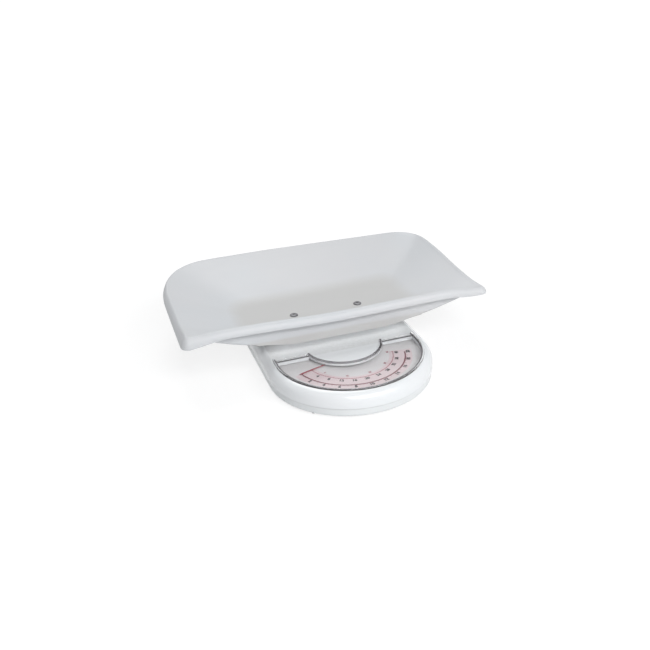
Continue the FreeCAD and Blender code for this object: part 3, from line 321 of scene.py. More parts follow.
class Wear(SharedPattern):
    """Rubbed outer edges, and dust that settles in hollows."""

    name = "edge_wear"
    inputs = {"Edge": 0.56}
    outputs = ("Rubbed", "Dust")

    @classmethod
    def fill(cls, kit: Nodes, given: bpy.types.Node, result: bpy.types.Node) -> None:
        """Edges from pointiness broken up by noise; hollows from its low end.

        Args:
            kit: Nodes of the group.
            given: The group's input node.
            result: The group's output node.
        """
        shape = kit.add("ShaderNodeNewGeometry")
        spots = kit.noise(Scale=160.0, Detail=4.0, Roughness=0.65)
        edge = kit.add("ShaderNodeMapRange", To_Min=0.0, To_Max=1.0, From_Max=0.68)
        kit.join(shape.outputs["Pointiness"], edge.inputs["Value"])
        kit.join(given.outputs["Edge"], edge.inputs["From Min"])
        broken = kit.span(spots.outputs["Fac"], 0.2, 1, 0.4, 0.6)
        kit.join(kit.reckon("MULTIPLY", edge.outputs["Result"], broken), result.inputs["Rubbed"])
        hollow = kit.span(shape.outputs["Pointiness"], 1, 0, 0.40, 0.495)
        settled = kit.span(spots.outputs["Fac"], 0.4, 1, 0.35, 0.65)
        kit.join(kit.reckon("MULTIPLY", hollow, settled), result.inputs["Dust"])


@dataclass(frozen=True)
class Finish:
    """A surface finish: its name and the colours it moves between."""

    name: str
    colour: tuple[int, int, int]
    second: tuple[int, int, int]

    def material(self) -> bpy.types.Material:
        """Build the material on first use.

        Returns:
            The material.
        """
        found = bpy.data.materials.get(self.name)
        if found:
            return found
        made = bpy.data.materials.new(self.name)
        made.use_nodes = True
        made.node_tree.nodes.clear()
        kit = Nodes(made.node_tree)
        shader = self.build(kit)
        output = kit.add("ShaderNodeOutputMaterial")
        kit.join(shader, output.inputs["Surface"])
        return made

    def tone(self, kit: Nodes, mask: bpy.types.NodeSocket) -> bpy.types.NodeSocket:
        """Go from the first colour to the second with the mask."""
        return kit.blend(mask, srgb(*self.colour), srgb(*self.second))

    def build(self, kit: Nodes) -> bpy.types.NodeSocket:
        """Build the shader and return its socket."""
        raise NotImplementedError


@dataclass(frozen=True)
class Moulding(Finish):
    """Injection-moulded plastic."""

    gloss: float = 0.35
    spread: float = 0.08
    grain: float = 900.0
    patch: float = 9.0
    relief: float = 0.00002
    coat: float = 0.0
    dust: tuple[int, int, int] = (176, 174, 170)
    # Painted shade: a darker colour laid on by height, full below the first height, or above it if the pair
    # runs downwards.
    worn: tuple[int, int, int] | None = None
    worn_below: tuple[float, float] = (0.0735, 0.0785)

    def build(self, kit: Nodes) -> bpy.types.NodeSocket:
        """Plastic with slow colour patches, edge wear, dust in the corners, a fine skin, and painted shade by
        height where given.

        Args:
            kit: Nodes of the material.

        Returns:
            The shader's socket.
        """
        skin = MouldGrain.place(kit, Grain=self.grain, Patch=self.patch)
        wear = Wear.place(kit, Edge=0.56)
        base = self.tone(kit, skin.outputs["Patches"])
        # Painted shade by height.
        if self.worn:
            base = self.dulled(kit, base)
        dusty = kit.blend(kit.span(wear.outputs["Dust"], 0, 0.45), base, srgb(*self.dust))
        rough = kit.reckon("ADD", kit.span(skin.outputs["Smears"], self.gloss, self.gloss + self.spread),
                           kit.span(wear.outputs["Rubbed"], 0, -0.08))
        return kit.surface(dusty, rough, skin.outputs["Height"], 0.35, self.relief,
                           IOR=1.5, Coat_Weight=self.coat, Coat_Roughness=0.12)

    def dulled(self, kit: Nodes, base: bpy.types.NodeSocket) -> bpy.types.NodeSocket:
        """Paint shade into the colour by height: full below the first height, or above it if the pair runs
        downwards.

        Args:
            kit: Nodes of the material.
            base: Colour of the moulding without the painted shade.

        Returns:
            The colour socket.
        """
        place = kit.add("ShaderNodeTexCoord")
        parts = kit.add("ShaderNodeSeparateXYZ")
        kit.join(place.outputs["Object"], parts.inputs[0])
        return kit.blend(kit.span(parts.outputs["Z"], 1, 0, *self.worn_below), base, srgb(*self.worn))


@dataclass(frozen=True)
class Metal(Finish):
    """Plated or bare metal, brushed or tumbled."""

    gloss: float = 0.3
    spread: float = 0.15
    grain: float = 1400.0
    patch: float = 60.0
    relief: float = 0.00002

    def build(self, kit: Nodes) -> bpy.types.NodeSocket:
        """Metal with tarnish patches, rubbed edges and fine relief.

        Args:
            kit: Nodes of the material.

        Returns:
            The shader's socket.
        """
        skin = MouldGrain.place(kit, Grain=self.grain, Patch=self.patch)
        wear = Wear.place(kit, Edge=0.54)
        rough = kit.reckon("ADD", kit.span(skin.outputs["Patches"], self.gloss, self.gloss + self.spread),
                           kit.span(wear.outputs["Rubbed"], 0, -0.12))
        return kit.surface(self.tone(kit, skin.outputs["Patches"]), rough, skin.outputs["Height"], 0.4,
                           self.relief, Metallic=1.0)


@dataclass(frozen=True)
class Print(Finish):
    """Printed ink, or the card it is printed on."""

    gloss: float = 0.45
    speck: float = 1800.0

    def build(self, kit: Nodes) -> bpy.types.NodeSocket:
        """Ink whose cover varies from speck to speck.

        Args:
            kit: Nodes of the material.

        Returns:
            The shader's socket.
        """
        specks = kit.noise(Scale=self.speck, Detail=2.0)
        cover = kit.span(specks.outputs["Fac"], 0, 1, 0.4, 0.7)
        rough = kit.span(cover, self.gloss, self.gloss + 0.15)
        return kit.surface(self.tone(kit, cover), rough, specks.outputs["Fac"], 0.2, 0.00001,
                           Specular_IOR_Level=0.15)


@dataclass(frozen=True)
class ClearPlastic(Finish):
    """Clear moulded window that lets lamps through to what is under it."""

    gloss: float = 0.03

    def build(self, kit: Nodes) -> bpy.types.NodeSocket:
        """Glass with faint smears, and a plain opening for rays from lamps and from what lies under it.

        Args:
            kit: Nodes of the material.

        Returns:
            The shader's socket.
        """
        skin = MouldGrain.place(kit, Grain=500.0, Patch=14.0)
        glass = kit.add("ShaderNodeBsdfPrincipled", Transmission_Weight=1.0, IOR=1.3)
        kit.join(self.tone(kit, skin.outputs["Patches"]), glass.inputs["Base Color"])
        kit.join(kit.span(skin.outputs["Smears"], self.gloss, self.gloss + 0.05), glass.inputs["Roughness"])
        opening = kit.add("ShaderNodeBsdfTransparent")
        opening.inputs["Color"].default_value = srgb(*self.colour)
        rays = kit.add("ShaderNodeLightPath").outputs
        through = kit.reckon("MAXIMUM", rays["Is Shadow Ray"], rays["Is Diffuse Ray"])
        return kit.choose(through, glass.outputs["BSDF"], opening.outputs["BSDF"])


# The tray's floor, and its walls below the floor's height, carry painted shade that fades out from 73.5 to
# 78.5 mm.
TRAY_WHITE = Moulding("tray_white_moulding", (204, 207, 210), (206, 207, 209), gloss=0.42, grain=1100.0,
                      patch=6.0, relief=0.00003, dust=(180, 178, 175), worn=(197, 197, 196))
HOUSING_WHITE = Moulding("housing_white_moulding", (232, 234, 236), (228, 231, 233), gloss=0.2, spread=0.06,
                         grain=700.0, relief=0.000012, coat=0.25)
# The top of the pan carries painted shade under the cover's step, fading in from 15.5 mm to full at 18.2 mm.
PAN_WHITE = Moulding("pan_white_moulding", (226, 229, 230), (221, 224, 225), gloss=0.3, grain=900.0,
                     worn=(170, 168, 170), worn_below=(0.0182, 0.0155))
KNOB_WHITE = Moulding("knob_white_moulding", (229, 231, 232), (222, 224, 226), gloss=0.28, grain=1200.0)
FOOT_RUBBER = Moulding("foot_rubber_grey", (150, 150, 149), (138, 138, 136), gloss=0.7, grain=1500.0,
                       patch=80.0, relief=0.00006, dust=(160, 158, 152))
LENS_CLEAR = ClearPlastic("window_clear", (254, 254, 254), (251, 252, 252))
RIM_CLEAR = ClearPlastic("window_rim_clear", (184, 182, 184), (176, 174, 177), gloss=0.25)
# Painted shadow: dark strips inside the window's outer rim and along its straight edges, where the wall and
# the plate under the pane lie in shade.
RIM_PAINTED_SHADOW = Print("window_rim_painted_shadow", (112, 108, 111), (100, 97, 100), gloss=0.35)
CARD_GREY = Print("dial_card_grey", (216, 213, 214), (209, 207, 208))
BAND_PINK = Print("dial_band_pink", (217, 201, 204), (211, 194, 197))
ARC_RED = Print("dial_arc_red", (116, 62, 70), (130, 78, 86))
FINE_RED = Print("dial_fine_red", (156, 70, 84), (168, 90, 102))
DIGIT_DARK = Print("dial_digit_dark", (26, 20, 24), (38, 32, 36))
POINTER_RED = Print("pointer_red_enamel", (138, 12, 38), (158, 22, 50), gloss=0.25)
SCREW_GREY = Metal("tray_screw_grey", (132, 132, 134), (116, 116, 119), gloss=0.5)
ZINC = Metal("zinc_plate", (120, 120, 122), (98, 99, 102), gloss=0.32)
SHEET_STEEL = Metal("pressed_sheet_steel", (172, 173, 176), (150, 152, 156), gloss=0.36)
HARD_STEEL = Metal("hardened_steel", (142, 143, 147), (122, 124, 128), gloss=0.22)
SPRING_STEEL = Metal("spring_steel", (126, 127, 132), (104, 106, 112), gloss=0.28)
BRASS = Metal("gear_brass_cut", (196, 166, 96), (176, 144, 78), gloss=0.28)

CAD_FINISHES: dict[Finish, tuple[str, ...]] = {
    HOUSING_WHITE: ("top_cover",),
    PAN_WHITE: ("base_pan",),
    CARD_GREY: ("dial_plate",),
    POINTER_RED: ("pointer",),
    FOOT_RUBBER: ("foot_rear_right", "foot_rear_left", "foot_front_right", "foot_front_left"),
    KNOB_WHITE: ("zero_knob",),
    SCREW_GREY: ("tray_washers",),
    ZINC: ("cover_screws", "bracket_screws", "dial_screws", "tray_nuts", "zero_screw"),
    SHEET_STEEL: (
        "rear_post_right", "rear_post_left", "front_post_right", "front_post_left", "long_lever",
        "short_lever_right", "short_lever_left", "movement_bracket", "spindle_bridge", "bell_crank",
        "zero_bracket", "tray_carrier", "carrier_leg_rear_right", "carrier_leg_rear_left",
        "carrier_leg_front_right", "carrier_leg_front_left",
    ),
    HARD_STEEL: ("rear_knife_rod", "front_knife_rod_right", "front_knife_rod_left", "crank_pin", "spindle"),
    SPRING_STEEL: ("main_spring", "rack_spring"),
    BRASS: ("rack", "pinion", "spring_block"),
}


# --- Hand tools ------------------------------------------------------------------

Spot = tuple[float, float, float]
Ring = list[Spot]
Stop = tuple[float, float, float, float]


class Bench:
    """Editing steps that several pieces share, done with Blender's own operators."""

    @staticmethod
    def clear() -> None:
        """Leave edit mode and select nothing."""
        if bpy.context.object and bpy.context.object.mode != "OBJECT":
            bpy.ops.object.mode_set(mode="OBJECT")
        bpy.ops.object.select_all(action="DESELECT")

    @staticmethod
    def take(name: str) -> bpy.types.Object:
        """Name the object just added, and its mesh.

        Args:
            name: The new name.

        Returns:
            The object.
        """
        piece = bpy.context.object
        piece.name = name
        if piece.data:
            piece.data.name = name
        return piece

    @staticmethod
    def pick(piece: bpy.types.Object) -> None:
        """Make a piece the only one selected and the active one.

        Args:
            piece: The piece to pick.
        """
        Bench.clear()
        piece.select_set(True)
        bpy.context.view_layer.objects.active = piece

    @staticmethod
    def disc(name: str, ring: Ring) -> bpy.types.Object:
        """Start a piece as one flat face whose corners stand on the ring, and stay in edit mode.

        Args:
            name: Name of the piece.
            ring: Corners of the face, in millimetres.

        Returns:
            The piece, in edit mode with all selected.
        """
        Bench.clear()
        bpy.ops.mesh.primitive_circle_add(vertices=len(ring), radius=0.1, fill_type="NGON")
        piece = Bench.take(name)
        bpy.ops.object.mode_set(mode="EDIT")
        mesh = bmesh.from_edit_mesh(piece.data)
        spoke = mesh.verts.layers.int.new("spoke")
        for index, vert in enumerate(mesh.verts):
            vert[spoke] = index
            vert.co = Vector(ring[index]) * MM
        bmesh.update_edit_mesh(piece.data)
        return piece

    @staticmethod
    def move_to(piece: bpy.types.Object, ring: Ring) -> None:
        """Set the selected corners on a ring, each by the spoke it belongs to.

        Args:
            piece: The piece in edit mode.
            ring: Where the corners go, in millimetres.
        """
        mesh = bmesh.from_edit_mesh(piece.data)
        spoke = mesh.verts.layers.int["spoke"]
        for vert in mesh.verts:
            if vert.select:
                vert.co = Vector(ring[vert[spoke]]) * MM
        bmesh.update_edit_mesh(piece.data)

    @staticmethod
    def face_out(inside: bool = False) -> None:
        """Turn every face of the piece in edit mode one way, and leave edit mode.

        Args:
            inside: Whether the faces turn inwards rather than outwards.
        """
        bpy.ops.mesh.select_all(action="SELECT")
        bpy.ops.mesh.normals_make_consistent(inside=inside)
        bpy.ops.object.mode_set(mode="OBJECT")

    @staticmethod
    def sheet(name: str, rings: Sequence[Ring]) -> bpy.types.Object:
        """Grow an open sheet outwards from a flat face, one rim after another.

        Args:
            name: Name of the piece.
            rings: The face's corners, then each rim.

        Returns:
            The piece, in object mode.
        """
        piece = Bench.disc(name, rings[0])
        for ring in rings[1:]:
            bpy.ops.mesh.extrude_edges_move()
            Bench.move_to(piece, ring)
        bpy.ops.object.mode_set(mode="OBJECT")
        return piece

    @staticmethod
    def bar(name: str, rings: Sequence[Ring]) -> bpy.types.Object:
        """Draw a solid bar by extruding a face through the rings, closed at both ends.

        Args:
            name: Name of the piece.
            rings: Sections along the bar, all with as many corners.

        Returns:
            The piece, in object mode, faces outwards.
        """
        piece = Bench.disc(name, rings[0])
        for ring in rings[1:]:
            bpy.ops.mesh.extrude_region_move()
            Bench.move_to(piece, ring)
        Bench.face_out()
        return piece

    @staticmethod
    def apply(piece: bpy.types.Object, kind: str, **values: object) -> None:
        """Add a modifier with these values and apply it.

        Args:
            piece: The piece to change.
            kind: Blender's name of the modifier type.
            **values: The modifier's properties.
        """
        Bench.pick(piece)
        modifier = piece.modifiers.new(kind.lower(), kind)
        for name, value in values.items():
            setattr(modifier, name, value)
        bpy.ops.object.modifier_apply(modifier=modifier.name)

    @staticmethod
    def carve(piece: bpy.types.Object, tool: bpy.types.Object, operation: str = "DIFFERENCE") -> None:
        """Cut a piece with a tool, or join the tool to it, and remove the tool."""
        Bench.apply(piece, "BOOLEAN", object=tool, operation=operation, solver="EXACT")
        bpy.data.objects.remove(tool)

    @staticmethod
    def drum(name: str, radius: float, low: float, high: float, centre: tuple[float, float],
             corners: int = 48) -> bpy.types.Object:
        """Upright cylinder for cutting, in millimetres.

        Args:
            name: Name of the tool.
            radius: Its radius.
            low: Its lower end.
            high: Its upper end.
            centre: X and Y of its axis.
            corners: Corners round it.

        Returns:
            The cylinder.
        """
        Bench.clear()
        bpy.ops.mesh.primitive_cylinder_add(
            vertices=corners, radius=radius * MM, depth=(high - low) * MM,
            location=(centre[0] * MM, centre[1] * MM, (low + high) / 2 * MM),
        )
        piece = Bench.take(name)
        bpy.ops.object.transform_apply(location=True, rotation=True, scale=True)
        return piece

    @staticmethod
    def merge(name: str, pieces: Sequence[bpy.types.Object]) -> bpy.types.Object:
        """Join pieces into one object and name it.

        Args:
            name: Name of the whole.
            pieces: What to join.

        Returns:
            The joined object.
        """
        Bench.clear()
        for piece in pieces:
            piece.select_set(True)
        bpy.context.view_layer.objects.active = pieces[0]
        if len(pieces) > 1:
            bpy.ops.object.join()
        return Bench.take(name)

    @staticmethod
    def copy(piece: bpy.types.Object, place: Matrix) -> bpy.types.Object:
        """Copy a piece with its own mesh and set the copy's place in that mesh.

        Args:
            piece: The piece to copy.
            place: Move, turn and scale of the copy.

        Returns:
            The copy.
        """
        twin = piece.copy()
        twin.data = piece.data.copy()
        bpy.context.scene.collection.objects.link(twin)
        twin.data.transform(place)
        return twin

    @staticmethod
    def smooth(piece: bpy.types.Object, angle: float = 35) -> None:
        """Shade smooth except across edges sharper than the angle."""
        Bench.pick(piece)
        bpy.ops.object.shade_smooth_by_angle(angle=math.radians(angle))


def hand_over(piece: bpy.types.Object, body: Body, finish: Finish | None,
              replaced: Iterable[str] = ()) -> None:
    """Dress a finished piece and give it to the frame.

    Args:
        piece: The finished piece.
        body: CAD body it rides on.
        finish: Finish to give it, or None if its faces have theirs already.
        replaced: CAD nodes it stands for.
    """
    if finish:
        piece.data.materials.clear()
        piece.data.materials.append(finish.material())
    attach(piece, body.value)
    if replaced:
        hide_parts(*replaced)
    LOG.info("%s: %d faces, rides on %s", piece.name, len(piece.data.polygons), body.value)


# --- Weighing tray ---------------------------------------------------------------


@dataclass
class RoundedOutline:
    """Plan of the tray at one level: rounded corners, the rear left one drawn out along Y."""

    half: float
    front: float
    rear: float
    front_radius: float
    rear_right: float
    rear_left: float
    rear_left_long: float
    arc_steps: int = 12
    long_steps: int = 26
    side_steps: int = 16

    def spots(self) -> list[tuple[float, float]]:
        """Corners of the outline, anticlockwise from the right end of its front.

        Returns:
            X and Y of each corner, in millimetres.
        """
        fr, rr, rl, long = self.front_radius, self.rear_right, self.rear_left, self.rear_left_long
        arcs = (
            (self.half - fr, self.front + fr, fr, fr, -90, self.side_steps),
            (self.half - rr, self.rear - rr, rr, rr, 0, self.long_steps),
            (rl - self.half, self.rear - long, rl, long, 90, self.side_steps),
            (fr - self.half, self.front + fr, fr, fr, 180, self.long_steps),
        )
        turned = []
        for x, y, wide, deep, start, _ in arcs:
            turns = [math.radians(start + 90 * i / self.arc_steps) for i in range(self.arc_steps + 1)]
            turned.append([(x + wide * math.cos(t), y + deep * math.sin(t)) for t in turns])
        found: list[tuple[float, float]] = []
        for index, arc in enumerate(turned):
            found += arc
            steps, goal = arcs[index][5], turned[(index + 1) % 4][0]
            for i in range(1, steps):
                share = i / steps
                found.append(tuple(a * (1 - share) + b * share for a, b in zip(arc[-1], goal)))
        return found

    def towards(self, other: "RoundedOutline", share: float) -> "RoundedOutline":
        """Outline that share of the way to the other one."""
        sizes = zip(astuple(self)[:-3], astuple(other)[:-3])
        return RoundedOutline(*(own + share * (goal - own) for own, goal in sizes))


def eased(value: float, start: float, end: float) -> float:
    """Smooth step from 0 at start to 1 at end."""
    share = min(max((value - start) / (end - start), 0), 1)
    return share * share * (3 - 2 * share)


@dataclass
class WeighingTray:
    """One moulding: flat floor, sloping ends and back, steep front, rolled lip and a short skirt below."""

    half: float = 275
    front: float = SCREW_LINE - 97
    rear: float = SCREW_LINE + 235
    front_corner: float = 15
    rear_corner_right: float = 57
    rear_corner_left: float = 100
    rear_corner_long: float = 133
    corner_flare: float = 1.5
    right_waist: float = 6.5
    wall: float = 3
    floor: float = 73
    floor_half: float = 140
    floor_front: float = SCREW_LINE - 83
    floor_rear: float = SCREW_LINE + 72
    floor_corner: float = 25
    floor_front_corner: float = 7
    floor_rings: tuple[float, float] = (0.5, 0.86)
    skirt_depth: float = 8
    skirt_reach: float = 12
    skirt_rear: float = SCREW_LINE + 92
    skirt_corner: float = 6
    skirt_lift: float = 1.15
    skirt_bite: float = 1.4
    skirt_front_bite: float = 8
    screw_half: float = 60
    screw_hole: float = 3.25
    gate_mark: tuple[float, float] = (120.8, 64.8)
    gate_radius: float = 1.6
    gate_depth: float = 1.0
    # Crest of the rim: the front rises a little towards the ends and droops at its corners, the ends
    # climb to the back, and the back leans down a little towards the right, as it came from the mould.
    front_crest: float = 108.2
    front_lift: tuple[float, float] = (5.6, 2.9)
    corner_drop: tuple[float, float] = (2, 6.5)
    corner_depth: tuple[float, float] = (0.43, -0.1)
    side_crest: float = 106.4
    rear_crest: float = 115.7
    rear_lean: float = 6.6
    highest: float = 116.8
    rear_inset: float = 1.15
    slope: tuple[tuple[float, float], ...] = (
        (0.0, 0.0), (0.1, 0.035), (0.22, 0.12), (0.4, 0.285), (0.6, 0.495), (0.8, 0.725), (0.93, 0.895),
    )
    # Section of the lip: in from the outer edge, and up from the crest, in millimetres. The left end has
    # a crisper crest.
    lip: tuple[tuple[float, float], ...] = (
        (14.0, -1.9), (12.4, -0.6), (10.8, -0.05), (8.3, -0.5), (5.7, -1.8), (3.4, -4.0), (1.6, -7.0),
        (0.4, -10.4), (0.0, -14.0),
    )
    crisp_lip: tuple[tuple[float, float], ...] = (
        (14.0, -1.6), (12.6, -0.5), (11.2, -0.02), (9.4, -0.4), (7.2, -1.7), (4.8, -3.9), (2.5, -7.0),
        (0.9, -10.6), (0.0, -14.0),
    )

    def past_front(self, y: float) -> float:
        """Share of the way from the front lip to the side lips."""
        return eased(y, self.front + 20, self.front + 70)

    def rim(self, x: float, y: float) -> float:
        """Height of the crest beside a spot on the outer edge.

        Args:
            x: Along the tray.
            y: Across the tray.

        Returns:
            Height above the table, in millimetres.
        """
        front = self.front_crest + self.front_lift[x > 0] * eased(abs(x), 0, 200)
        front -= self.corner_drop[x > 0] * eased(abs(x), 200, 248 if x > 0 else 262)
        climb = eased(y, self.front + 26, self.rear - 13)
        side = self.side_crest + (self.rear_crest - self.side_crest) * climb
        lean = self.rear_lean * x / self.half * eased(y, 60, self.rear - 13)
        return min(front + (side - lean - front) * self.past_front(y), self.highest)

    def deeper(self, x: float, y: float) -> float:
        """How many times deeper the lip hangs here: once along the sides, more at the front corners."""
        ahead = 1 - self.past_front(y)
        return 1 + self.corner_depth[x > 0] * eased(abs(x), 205, 262) * ahead

    def inset(self, amount: float) -> RoundedOutline:
        """Outer outline moved in by an amount, its rear corners blunter below the crest.

        Args:
            amount: How far in, in millimetres.

        Returns:
            The smaller outline.
        """
        blunt = self.corner_flare * max(11 - amount, 0) - amount
        return RoundedOutline(
            self.half - amount, self.front + amount, self.rear - self.rear_inset * amount,
            max(self.front_corner - amount, 5), self.rear_corner_right + blunt, self.rear_corner_left + blunt,
            self.rear_corner_long + blunt,
        )

    def drawn_in(self, spots: Iterable[tuple[float, float]]) -> list[tuple[float, float]]:
        """Spots with the right end pulled in between its two corners.

        Args:
            spots: X and Y of each spot.

        Returns:
            The spots in the same order.
        """
        pulled = []
        for x, y in spots:
            waist = eased(y, self.front, self.front + 60) * (1 - eased(y, 0, 190))
            pulled.append((x - self.right_waist * waist * max(x / self.half, 0) ** 3, y))
        return pulled

    def rings(self) -> list[Ring]:
        """Rims of the tray from inside its floor to the lower edge of the lip.

        Returns:
            The rims, all with as many corners.
        """
        crests = [self.rim(x, y) for x, y in self.inset(0).spots()]
        shelf, sink = self.lip[0]
        top = self.inset(shelf)
        rings: list[Ring] = []
        corners = (self.floor_front_corner, self.floor_corner, self.floor_corner, self.floor_corner)
        for shrink in self.floor_rings:
            base = RoundedOutline(
                self.floor_half * shrink, self.floor_front * shrink, self.floor_rear * shrink, *corners,
            )
            rings.append([(x, y, self.floor) for x, y in base.spots()])
        flat = RoundedOutline(self.floor_half, self.floor_front, self.floor_rear, *corners)
        for along, up in self.slope:
            outline = flat.towards(top, along)
            rings.append([
                (x, y, self.floor + up * (crest + sink - self.floor))
                for (x, y), crest in zip(self.drawn_in(outline.spots()), crests)
            ])
        for soft, crisp in zip(self.lip, self.crisp_lip):
            ring = []
            pairs = [self.drawn_in(self.inset(amount).spots()) for amount in (soft[0], crisp[0])]
            for (sx, sy), (cx, cy), crest in zip(*pairs, crests):
                share = eased(-sx, 225, 262)
                x, y = sx + (cx - sx) * share, sy + (cy - sy) * share
                step = soft[1] + (crisp[1] - soft[1]) * share
                ring.append((x, y, crest + step * (self.deeper(x, y) if step < -0.7 else 1)))
            rings.append(ring)
        return rings

    def skirt(self) -> bpy.types.Object:
        """Upright wall under the floor, deepest in the middle and running out under the ends.

        Returns:
            The skirt, in object mode, faces outwards.
        """
        half = self.floor_half + self.skirt_reach
        outer = RoundedOutline(half, self.floor_front - self.wall, self.skirt_rear,
                               *[self.skirt_corner] * 4).spots()
        inside = self.skirt_corner - self.wall
        inner = RoundedOutline(half - self.wall, self.floor_front, self.skirt_rear - self.wall,
                               *[inside] * 4).spots()
        under = self.floor - self.wall

        def hem(x: float) -> float:
            """Height of the lower edge at x."""
            return under - self.skirt_depth * (1 - self.skirt_lift * eased(abs(x) / half, 0.5, 1.0))

        def top(y: float) -> float:
            """Height of the upper edge at y: inside the floor, and higher inside the front wall."""
            ahead = 1 - eased(y, self.floor_front - self.wall, self.floor_front - 1)
            return under + self.skirt_bite + self.skirt_front_bite * ahead

        count = len(outer)
        quads = []
        for index in range(count + 1):
            (ox, oy), (ix, iy) = outer[index % count], inner[index % count]
            quads.append([(ox, oy, hem(ox)), (ox, oy, top(oy)), (ix, iy, top(iy)), (ix, iy, hem(ox))])
        piece = Bench.disc("tray_skirt", quads[0])
        for quad in quads[1:]:
            bpy.ops.mesh.extrude_region_move()
            Bench.move_to(piece, quad)
        bpy.ops.mesh.delete(type="ONLY_FACE")
        self.drop_first_face(piece, quads[0])
        bpy.ops.mesh.select_all(action="SELECT")
        bpy.ops.mesh.remove_doubles(threshold=WELD_GAP)
        Bench.face_out()
        return piece

    @staticmethod
    def drop_first_face(piece: bpy.types.Object, quad: Ring) -> None:
        """Delete the face that the extrusion started from, so that the ring closes on itself.

        Args:
            piece: The piece in edit mode.
            quad: Corners of that face, in millimetres.
        """
        mesh = bmesh.from_edit_mesh(piece.data)
        middle = sum((Vector(spot) for spot in quad), Vector()) / len(quad) * MM
        for face in mesh.faces:
            face.select = (face.calc_center_median() - middle).length < WELD_GAP
        bmesh.update_edit_mesh(piece.data)
        bpy.ops.mesh.delete(type="ONLY_FACE")

    def build(self) -> None:
        """Model the tray and hand it over."""
        piece = Bench.sheet("tray_moulding", self.rings())
        Bench.pick(piece)
        bpy.ops.object.mode_set(mode="EDIT")
        Bench.face_out(inside=True)
        if piece.data.polygons[0].normal.z < 0:
            piece.data.flip_normals()
        Bench.apply(piece, "SOLIDIFY", thickness=self.wall * MM, offset=-1, use_quality_normals=True)
        Bench.apply(piece, "SUBSURF", levels=1, render_levels=1)
        Bench.carve(piece, self.skirt(), "UNION")
        for side in (1, -1):
            Bench.carve(piece, Bench.drum("bolt_hole", self.screw_hole, self.floor - 12, self.floor + 4,
                                          (side * self.screw_half, SCREW_LINE)))
        x, z = self.gate_mark
        mark = Bench.drum("gate_mark", self.gate_radius, -self.gate_depth, self.gate_depth, (0, 0), 20)
        mark.data.transform(Matrix.Translation(Vector((x, self.floor_front - self.wall, z)) * MM)
                            @ Matrix.Rotation(math.radians(90), 4, "X"))
        Bench.carve(piece, mark)
        Bench.smooth(piece, 40)
        hand_over(piece, Body.TRAY, TRAY_WHITE, ["tray"])


@dataclass
class TrayScrew:
    """Domed cross-head screw with a shank down through the carrier plate."""

    head_radius: float = 6.5
    seat: float = 74
    crown: float = 75.5
    shank: float = 3
    end: float = 60
    slot_length: float = 6.4
    slot_width: float = 1.3
    slot_cutter: float = 2.6
    slot_edge: float = 0.25
    pitch: float = 1.0
    thread: float = 9
    thread_root: float = 0.86
    corners: int = 32
    # Section of the head: share of its radius, and up from its seat.
    dome: tuple[tuple[float, float], ...] = (
        (0.97, 0.0), (1.0, 0.08), (1.0, 0.5), (0.97, 0.8), (0.9, 1.05), (0.76, 1.27), (0.56, 1.41),
        (0.3, 1.48), (0.08, 1.5),
    )
    # Name, X of the axis and turn of the cross, in degrees.
    places: tuple[tuple[str, float, float], ...] = (("right", 60, 20), ("left", -60, -35))

    def ring(self, radius: float, height: float) -> Ring:
        """Level circle round the screw's own axis."""
        turns = [2 * math.pi * i / self.corners for i in range(self.corners)]
        return [(radius * math.cos(t), radius * math.sin(t), height) for t in turns]

    def head_rings(self) -> list[Ring]:
        """Sections from the end of the shank to the crown.

        Returns:
            The sections, all with as many corners.
        """
        rings = [self.ring(self.shank * 0.7, self.end), self.ring(self.shank, self.end + 1)]
        thread_top = self.end + self.thread
        root = self.shank * self.thread_root
        level = self.end + 1.5
        while level < thread_top:
            rings += [self.ring(self.shank, level), self.ring(root, level + self.pitch / 2)]
            level += self.pitch
        rings += [self.ring(self.shank, thread_top + 0.5), self.ring(self.shank, self.seat)]
        return rings + [self.ring(self.head_radius * share, self.seat + up) for share, up in self.dome]

    def build(self) -> None:
        """Model one screw, cut its cross and copy it to the other side."""
        first = Bench.bar("tray_screw_blank", self.head_rings())
        for turn in (0, 90):
            Bench.clear()
            bpy.ops.mesh.primitive_cube_add(size=1, location=(0, 0, self.crown * MM))
            cutter = Bench.take("cross_cutter")
            cutter.scale = (self.slot_length * MM, self.slot_width * MM, self.slot_cutter * MM)
            cutter.rotation_euler = (0, 0, math.radians(turn))
            bpy.ops.object.transform_apply(location=True, rotation=True, scale=True)
            Bench.apply(cutter, "BEVEL", width=self.slot_edge * MM, segments=2)
            Bench.carve(first, cutter)
        Bench.apply(first, "WELD", merge_threshold=WELD_GAP)
        for name, side, turn in self.places:
            place = (Matrix.Translation((side * MM, SCREW_LINE * MM, 0))
                     @ Matrix.Rotation(math.radians(turn), 4, "Z"))
            twin = Bench.copy(first, place)
            twin.name = f"tray_screw_{name}_detailed"
            Bench.smooth(twin, 30)
            hand_over(twin, Body.TRAY, SCREW_GREY, [f"tray_screw_{name}"])
        bpy.data.objects.remove(first)


# --- Dial window -----------------------------------------------------------------


